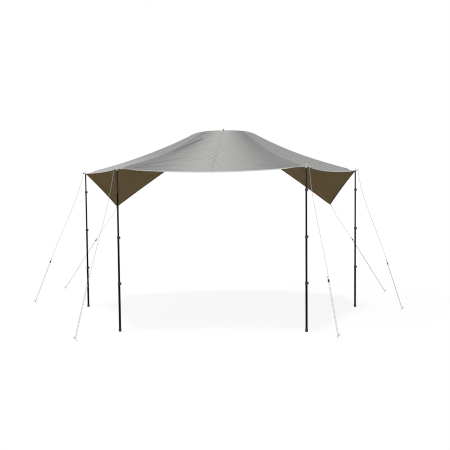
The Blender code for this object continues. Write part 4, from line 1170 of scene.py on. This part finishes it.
class AWNING_OT_poles(bpy.types.Operator):
    """Make the four telescopic poles: spigots, tubes, clamps, levers, pivots and feet"""
    bl_idname = "awning.poles"
    bl_label = "Poles"

    def execute(self, context):
        sides = context.scene.awning_poles.sides
        for pole in POLES:
            x, y, _ = FEET[f"{pole}_foot"]
            self.spigot(pole, x, y, sides)
            for k in (1, 2, 3, 4):
                self.section(pole, k, x, y, sides)
            for k in (2, 3, 4):
                self.clamp(pole, k, x, y, sides)
            self.foot(pole, x, y, sides)
        return {"FINISHED"}

    def spigot(self, pole, x, y, sides):
        """A round-ended pin over a ball seat on a shoulder, which is dark on the outer poles."""
        tip = np.linspace(0, math.pi / 2, 7)
        dome = np.stack((SPIGOT_PIN * np.sin(tip), SPIGOT_HEIGHT - SPIGOT_PIN + SPIGOT_PIN * np.cos(tip)), -1)
        under, over = math.acos((GAP - SHOULDER_TOP) / SPIGOT_DOME), math.asin(SPIGOT_PIN / SPIGOT_DOME)
        ball = np.linspace(over, under, 10)
        seat = np.stack((SPIGOT_DOME * np.sin(ball), SPIGOT_DOME * np.cos(ball)), -1)
        foot = [(SPIGOT_SHOULDER - 0.0005, -SHOULDER_TOP), (SPIGOT_SHOULDER, -SHOULDER_TOP - 0.0005),
                (SPIGOT_SHOULDER, 0.0004 - COLLAR_BOTTOM), (SPIGOT_SHOULDER - 0.0004, -COLLAR_BOTTOM),
                (0.0, -COLLAR_BOTTOM)]
        low = seat[0, 1]
        pin = np.vstack((dome, (SPIGOT_PIN, low - 0.001), (0.0, low - 0.001)))
        shoulder = np.vstack(((0.0, low), seat, foot))
        grip = "spigot_nylon" if pole.startswith("near") else "dark_plastic"
        for label, profile, finish in (("spigot", pin, "spigot_nylon"), ("shoulder", shoulder, grip)):
            settle(turned(f"{pole}_{label}", profile, (x, y, PIVOT_Z), sides), finish,
                   f"{pole}_section_1", "dark_plastic")

    def section(self, pole, k, x, y, sides):
        """One tube with its wall, its mouth rounded at the bottom."""
        top = TUBE_TOPS[k - 1]
        bottom = (top - TUBE_1_LENGTH, *(t - TUBE_NEST for t in TUBE_TOPS[2:]), GROUND + 0.004)[k - 1]
        outer, bore = TUBE_OD[k - 1] / 2, TUBE_OD[k - 1] / 2 - TUBE_WALL
        profile = [(bore, top), (outer, top), (outer, (top + bottom) / 2), (outer, bottom + 0.0004),
                   (outer - 0.0004, bottom), (bore + 0.0003, bottom), (bore, bottom + 0.0003)]
        tube = turned(f"{pole}_section_{k}_tube", profile, (x, y, 0), sides, ring=True)
        finish = "pole_top_finish" if k == 1 else "pole_black_finish"
        settle(tube, finish, f"{pole}_section_{k}", replaces=[f"{pole}_tube_{k}"])

    def clamp(self, pole, k, x, y, sides):
        """A grooved collar with two ears, a pivot between them, and the cam lever round its front."""
        top = TUBE_TOPS[k - 1]
        low = top - CLAMP_HEIGHT
        tube = TUBE_OD[k - 1] / 2
        ring, bore = tube + CLAMP_WALL, tube - TUBE_WALL
        body = f"{pole}_section_{k}"
        rows = [(bore, top), (bore, top + 0.0004), (ring - 0.0016, top + 0.0004), (ring - 0.0008, top),
                (ring, top - 0.0010)]
        for depth in CLAMP_GROOVES:
            rows += groove(ring, top - depth, -0.0010, -0.0005, GROOVE_DEPTH)
        rows += [(ring, low + 0.0010), (ring - 0.0010, low), (tube - 0.0002, low),
                 (tube - 0.0002, top - 0.002)]
        settle(turned(f"{pole}_clamp_{k - 1}", rows, (x, y, 0), sides, ring=True), "clamp_plastic",
               body, "dark_plastic")
        hub = ring + HUB_OFFSET
        root = ring - CLAMP_WALL / 2
        ear = np.vstack(((root, -EAR_RADIUS), arc((hub, 0), EAR_RADIUS, -math.pi / 2, math.pi / 2, 13),
                         (root, EAR_RADIUS))) + (x, y)
        for label, high in (("upper", top - EAR_INSET), ("lower", low + EAR_INSET + EAR_THICKNESS)):
            settle(extruded(f"{pole}_clamp_{k - 1}_{label}_ear", ear, high - EAR_THICKNESS, high, 0.0005),
                   "dark_plastic", body)
        head = [(0.0, top + 0.0002), (0.0016, top), (0.0024, top - 0.0005), (0.0025, top - 0.0012),
                (PIVOT_RADIUS, top - 0.0012), (PIVOT_RADIUS, low + 0.0012), (0.0025, low + 0.0012),
                (0.0024, low + 0.0005), (0.0016, low), (0.0, low - 0.0002)]
        settle(turned(f"{pole}_pivot_{k - 1}", head, (x + hub, y, 0), 20), "bright_steel", body)
        self.lever(pole, k, x, y, ring, hub, top)

    def lever(self, pole, k, x, y, ring, hub, top):
        """A hub and a blade that is an arc round the collar, flaring at its tip, with three grip ribs."""
        angle = np.linspace(LEVER_START, LEVER_SWEEP, 22)
        flare = LEVER_LIP * np.maximum(0, (angle / LEVER_SWEEP - 0.8) / 0.2) ** 2
        inner = ring + LEVER_GAP + flare
        way = np.stack((np.cos(-angle), np.sin(-angle)), -1)
        blade = np.vstack((inner[:, None] * way, ((inner + LEVER_THICKNESS)[:, None] * way)[::-1]))
        outline = np.vstack((arc((hub, 0), HUB_RADIUS, *LEVER_HUB_ARC, 15), blade)) + (x, y)
        height = CLAMP_HEIGHT / 2 - EAR_INSET - EAR_THICKNESS - GAP
        middle = top - CLAMP_HEIGHT / 2
        rim = 0.0004
        rows = [raised(outline, middle + h) for h in (-height, -height + rim, height - rim, height)]
        piece = surface(f"{pole}_handle_{k - 1}", np.stack(rows), wrap=True, caps=True)
        body = f"{pole}_cam_{k - 1}"
        settle(piece, "clamp_plastic", body, "dark_plastic", [f"{pole}_lever_{k - 1}"])
        reach = ring + LEVER_GAP + LEVER_THICKNESS
        run = np.linspace(-1, 1, 9)
        taper = np.sqrt(np.maximum(1 - run ** 6, 0.05))[:, None, None]
        for number, turn in enumerate(LEVER_RIBS):
            out = np.array((math.cos(turn), -math.sin(turn), 0.0))
            path = (x, y, middle) + reach * out + 0.8 * height * run[:, None] * UP
            rib = swept(f"{pole}_handle_{k - 1}_rib_{number + 1}", path, circle(0.0006, 8) * taper, out)
            settle(rib, "clamp_plastic", body, "dark_plastic")

    def foot(self, pole, x, y, sides):
        """A moulded boot with a rounded rim, three grip rings and a flat sole."""
        top, floor = GROUND + FOOT_HEIGHT, GROUND + FOOT_FLOOR
        rows = [(0.0, GROUND), (FOOT_RADIUS - 0.0015, GROUND), (FOOT_RADIUS, GROUND + 0.0040)]
        for height in FOOT_GROOVES:
            rows += groove(FOOT_RADIUS, GROUND + height, 0.0014, 0.0008, FOOT_GROOVE_DEPTH)
        rows += [(FOOT_RADIUS, GROUND + 0.031), (FOOT_RADIUS - 0.0006, GROUND + 0.0335),
                 (0.0160, top - 0.0008), (0.0154, top), (FOOT_BORE, top), (FOOT_BORE, floor), (0.0, floor)]
        settle(turned(f"{pole}_boot", rows, (x, y, 0), sides), "dark_plastic", f"{pole}_section_4")


def peg_path(ground, stem, out):
    """A peg's wire and the way across it. It is straight from its buried point to its top, then half a
    circle outward, and ends in a short straight tail."""
    square = unit(out - stem * (out @ stem))
    top = ground + stem * PEG_STEM
    turn = np.linspace(0, math.pi, 15)[1:, None]
    hook = top + square * PEG_HOOK + (-square * np.cos(turn) + stem * np.sin(turn)) * PEG_HOOK
    path = (ground - stem * PEG_BURIED, ground - stem * (PEG_BURIED - 0.016), ground, top - stem * 0.004, top,
            hook, hook[-1] - stem * PEG_TAIL * 0.5, hook[-1] - stem * PEG_TAIL)
    return np.vstack(path), np.cross(stem, square)


def guy_line(name):
    """A line's route from knot to knot, the ways down and across it, and its peg's path.

    The line hangs from its tab or ring to the tensioner on a curve whose dip is u (1 - u)^2, lies straight
    to the peg, goes round it in half a circle, and comes back through the tensioner to its knot.
    """
    kind = name.split("_")[0]
    if kind == "wing":
        centre, way, _, _, ring = wing_tip(name)
        anchor = centre + way * (ring + RING_RADIUS + RING_WIRE + GAP + KNOT_RADIUS)
    else:
        tab = TABS[kind]
        origin, way = tab_axes(name)
        hole = tab_line(tab)[1]
        anchor = origin + hole[0] * way + hole[1] * UP
    ground = np.array((*PEG_PLACES[name], GROUND))
    outward_way = unit((ground - anchor) * (1, 1, 0))
    stem = unit(outward_way * math.sin(PEG_LEAN) + UP * math.cos(PEG_LEAN))
    hold = ground + stem * PEG_HOLD
    across = np.cross(UP, outward_way)
    turn = hold
    # The line's way down and its bend round the peg depend on each other, so they are settled by turns
    for _ in range(4):
        down = unit(turn + across * LOOP_RADIUS - anchor)
        across = unit(across - down * (across @ down))
        reach = (PEG_RADIUS + CORD_RADIUS + GAP) / math.sin(math.acos(float(np.clip(down @ stem, -1, 1))))
        turn = hold - down * (LOOP_RADIUS - reach)
    middle = turn - down * np.linalg.norm(turn - anchor) * TENSIONER_SHARE[kind]
    above = TENSIONER_HEIGHT / 2 + TAIL
    straight = middle - down * (above + 2 * TENSIONER_UP) + across * LOOP_RADIUS
    hang = unit(np.cross(np.cross(UP, down), down))
    hang = hang * -np.sign(hang[2])
    u = np.linspace(0, 1, 40)[:, None]
    route = anchor + (straight - anchor) * u + hang * LINE_SAG[kind] * 27 / 4 * u * (1 - u) ** 2
    if kind != "wing":
        square = way * math.sin(tab["slope"]) + UP * math.cos(tab["slope"])
        leave = unit(route[5] - anchor)
        route[0] = anchor - leave * (KNOT_RADIUS + GAP + WEBBING_THICKNESS / 2) / abs(leave @ square)
    angle = np.linspace(0, math.pi, 13)[:, None]
    far = turn + across * LOOP_RADIUS - down * LOOP_RADIUS
    loop = turn + (across * np.cos(angle) + down * np.sin(angle)) * LOOP_RADIUS
    back = turn - across * LOOP_RADIUS - down * LOOP_RADIUS
    end = middle - down * (above + KNOT_RADIUS) - across * LOOP_RADIUS
    lower = route[-1] + (far - route[-1]) * np.linspace(0, 1, 14)[1:, None]
    upper = back + (end - back) * np.linspace(0, 1, 14)[:, None]
    route = np.vstack((route, lower, loop, upper))
    return route, down, np.cross(across, down), peg_path(ground, stem, outward_way)


class AWNING_OT_lines(bpy.types.Operator):
    """Make the six guy lines with their knots, tensioners and pegs"""
    bl_idname = "awning.lines"
    bl_label = "Guy lines"

    def execute(self, context):
        diameter = context.scene.awning_lines.diameter
        for name in PEG_PLACES:
            route, down, facing, peg = guy_line(name)
            length = float(distance(route[:-1], route[1:]).sum())
            cord = swept(f"{name}_line", route, circle(diameter / 2, 10), facing, crisp=60)
            settle(cord, "guy_cord", replaces=[f"{name}_guy_line"])
            top = "dark_webbing" if name.startswith("outer") else "guy_cord"
            knots = [self.knot(f"{name}_{label}_knot", spot, down, diameter, finish)
                     for label, spot, finish in (("tab", route[0], top), ("tail", route[-1], "guy_cord"))]
            slider = softened(f"{name}_slider", f"{name}_tensioner", 0.0012)
            settle(slider, "slider_nylon", f"{name}_slider", "dark_plastic", [f"{name}_tensioner"])
            self.peg(name, *peg)
        return {"FINISHED"}

    def knot(self, name, spot, down, diameter, finish):
        """A stopper knot: three and a half turns of cord round the line, nearer to it at both ends."""
        full = KNOT_TURNS * math.tau
        turn = np.linspace(0, full, 64)[:, None]
        first = unit(np.cross(down, (0.31, 0.52, 0.79)))
        second = np.cross(down, first)
        radius = (KNOT_RADIUS - diameter / 2 - 0.0002) * (0.86 + 0.14 * np.sin(turn / (2 * KNOT_TURNS)))
        rise = (turn / full - 0.5) * 2 * (KNOT_RADIUS - diameter / 2)
        path = spot + first * np.cos(turn) * radius + second * np.sin(turn) * radius + down * rise
        return settle(swept(name, path, circle(diameter / 2, 8), down, crisp=60), finish)

    def peg(self, name, path, side):
        """Round wire on its path, drawn to a point at the buried end."""
        taper = np.ones((len(path), 1, 1))
        taper[0] = 0.15
        wire = swept(f"{name}_peg_wire", path, circle(PEG_RADIUS, 16) * taper, side, crisp=60)
        settle(wire, "bright_steel", replaces=[f"{name}_peg"])


class AWNING_OT_stage(bpy.types.Operator):
    """Set the floor, the even light, the two lamps and the camera"""
    bl_idname = "awning.stage"
    bl_label = "Stage"

    def execute(self, context):
        stage = context.scene.awning_stage
        scene = context.scene
        scene.view_settings.view_transform = "Standard"
        scene.cycles.filter_width = FILTER_WIDTH
        scene.world = bpy.data.worlds.new("studio")
        scene.world.use_nodes = True
        sky = Nodes(scene.world.node_tree)
        back = sky.tree.nodes["Background"].inputs
        strength = sky.node("ShaderNodeMapRange", None,
                            {"Value": sky.seen(), "To Min": stage.sky, "To Max": 1.0})
        sky.feed(back["Color"], (1, 1, 1, 1))
        sky.feed(back["Strength"], strength)

        for name, energy, angle, towards in (("top", stage.sun, stage.sun_size, TOP_LIGHT),
                                             ("side", stage.side, SIDE_LIGHT_SIZE, SIDE_LIGHT)):
            light = bpy.data.lights.new(name, "SUN")
            light.energy, light.angle = energy, angle
            lamp = bpy.data.objects.new(name, light)
            lamp.rotation_euler = Matrix(self.axes(-unit(np.array(towards)))).transposed().to_euler()
            scene.collection.objects.link(lamp)

        reach = np.array((-60.0, 60.0))
        floor = surface("floor", np.stack((*np.meshgrid(reach, reach), np.full((2, 2), GROUND - 0.0005)), -1))
        floor_finish("floor", stage.floor, stage.glow)
        floor.data.materials.append(FINISHES["floor"])

        forward = np.array((math.sin(YAW) * math.cos(PITCH),
                            math.cos(YAW) * math.cos(PITCH), math.sin(PITCH)))
        right = np.array((math.cos(YAW), -math.sin(YAW), 0))
        up = np.cross(right, forward)
        side = math.cos(ROLL) * right + math.sin(ROLL) * up
        rise = math.cos(ROLL) * up - math.sin(ROLL) * right
        view = Matrix(np.stack((side, rise, -forward), -1).tolist()).to_4x4()
        view.translation = CAMERA_PLACE
        lens = bpy.data.cameras.new("camera")
        lens.sensor_width = SENSOR_WIDTH
        lens.lens = FOCAL_PIXELS / PICTURE_PIXELS * SENSOR_WIDTH
        lens.clip_end = 200
        camera = bpy.data.objects.new("camera", lens)
        camera.matrix_world = view
        scene.collection.objects.link(camera)
        scene.camera = camera
        return {"FINISHED"}

    def axes(self, z):
        """Three square axes, the last along z, as rows."""
        x = unit(np.cross(UP, z))
        return [x.tolist(), np.cross(z, x).tolist(), z.tolist()]


GROUPS = {"awning_cloth": AwningCloth, "awning_fittings": AwningFittings, "awning_poles": AwningPoles,
          "awning_lines": AwningLines, "awning_stage": AwningStage}
STEPS = (AWNING_OT_finishes, AWNING_OT_stage, AWNING_OT_lines, AWNING_OT_canopy, AWNING_OT_hems,
         AWNING_OT_wings, AWNING_OT_fittings, AWNING_OT_poles)


class AWNING_PT_panel(bpy.types.Panel):
    """Sizes, colours and steps of the awning"""
    bl_idname = "AWNING_PT_panel"
    bl_label = "Awning"
    bl_space_type = "VIEW_3D"
    bl_region_type = "UI"
    bl_category = "Awning"

    def draw(self, context):
        for group, kind in GROUPS.items():
            box = self.layout.box()
            for name in kind.__annotations__:
                box.prop(getattr(context.scene, group), name)
        for step in STEPS:
            self.layout.operator(step.bl_idname)


CLASSES = (*GROUPS.values(), *STEPS, AWNING_PT_panel)


def register():
    """Add the classes to Blender, and a group of settings of each kind to the scene."""
    for kind in CLASSES:
        bpy.utils.register_class(kind)
    for group, kind in GROUPS.items():
        setattr(bpy.types.Scene, group, PointerProperty(type=kind))


def unregister():
    """Take them away again."""
    for group in GROUPS:
        delattr(bpy.types.Scene, group)
    for kind in reversed(CLASSES):
        bpy.utils.unregister_class(kind)


def main():
    """Run every step in order."""
    register()
    for step in STEPS:
        group, operator = step.bl_idname.split(".")
        getattr(getattr(bpy.ops, group), operator)()


if __name__ == "__main__":
    main()
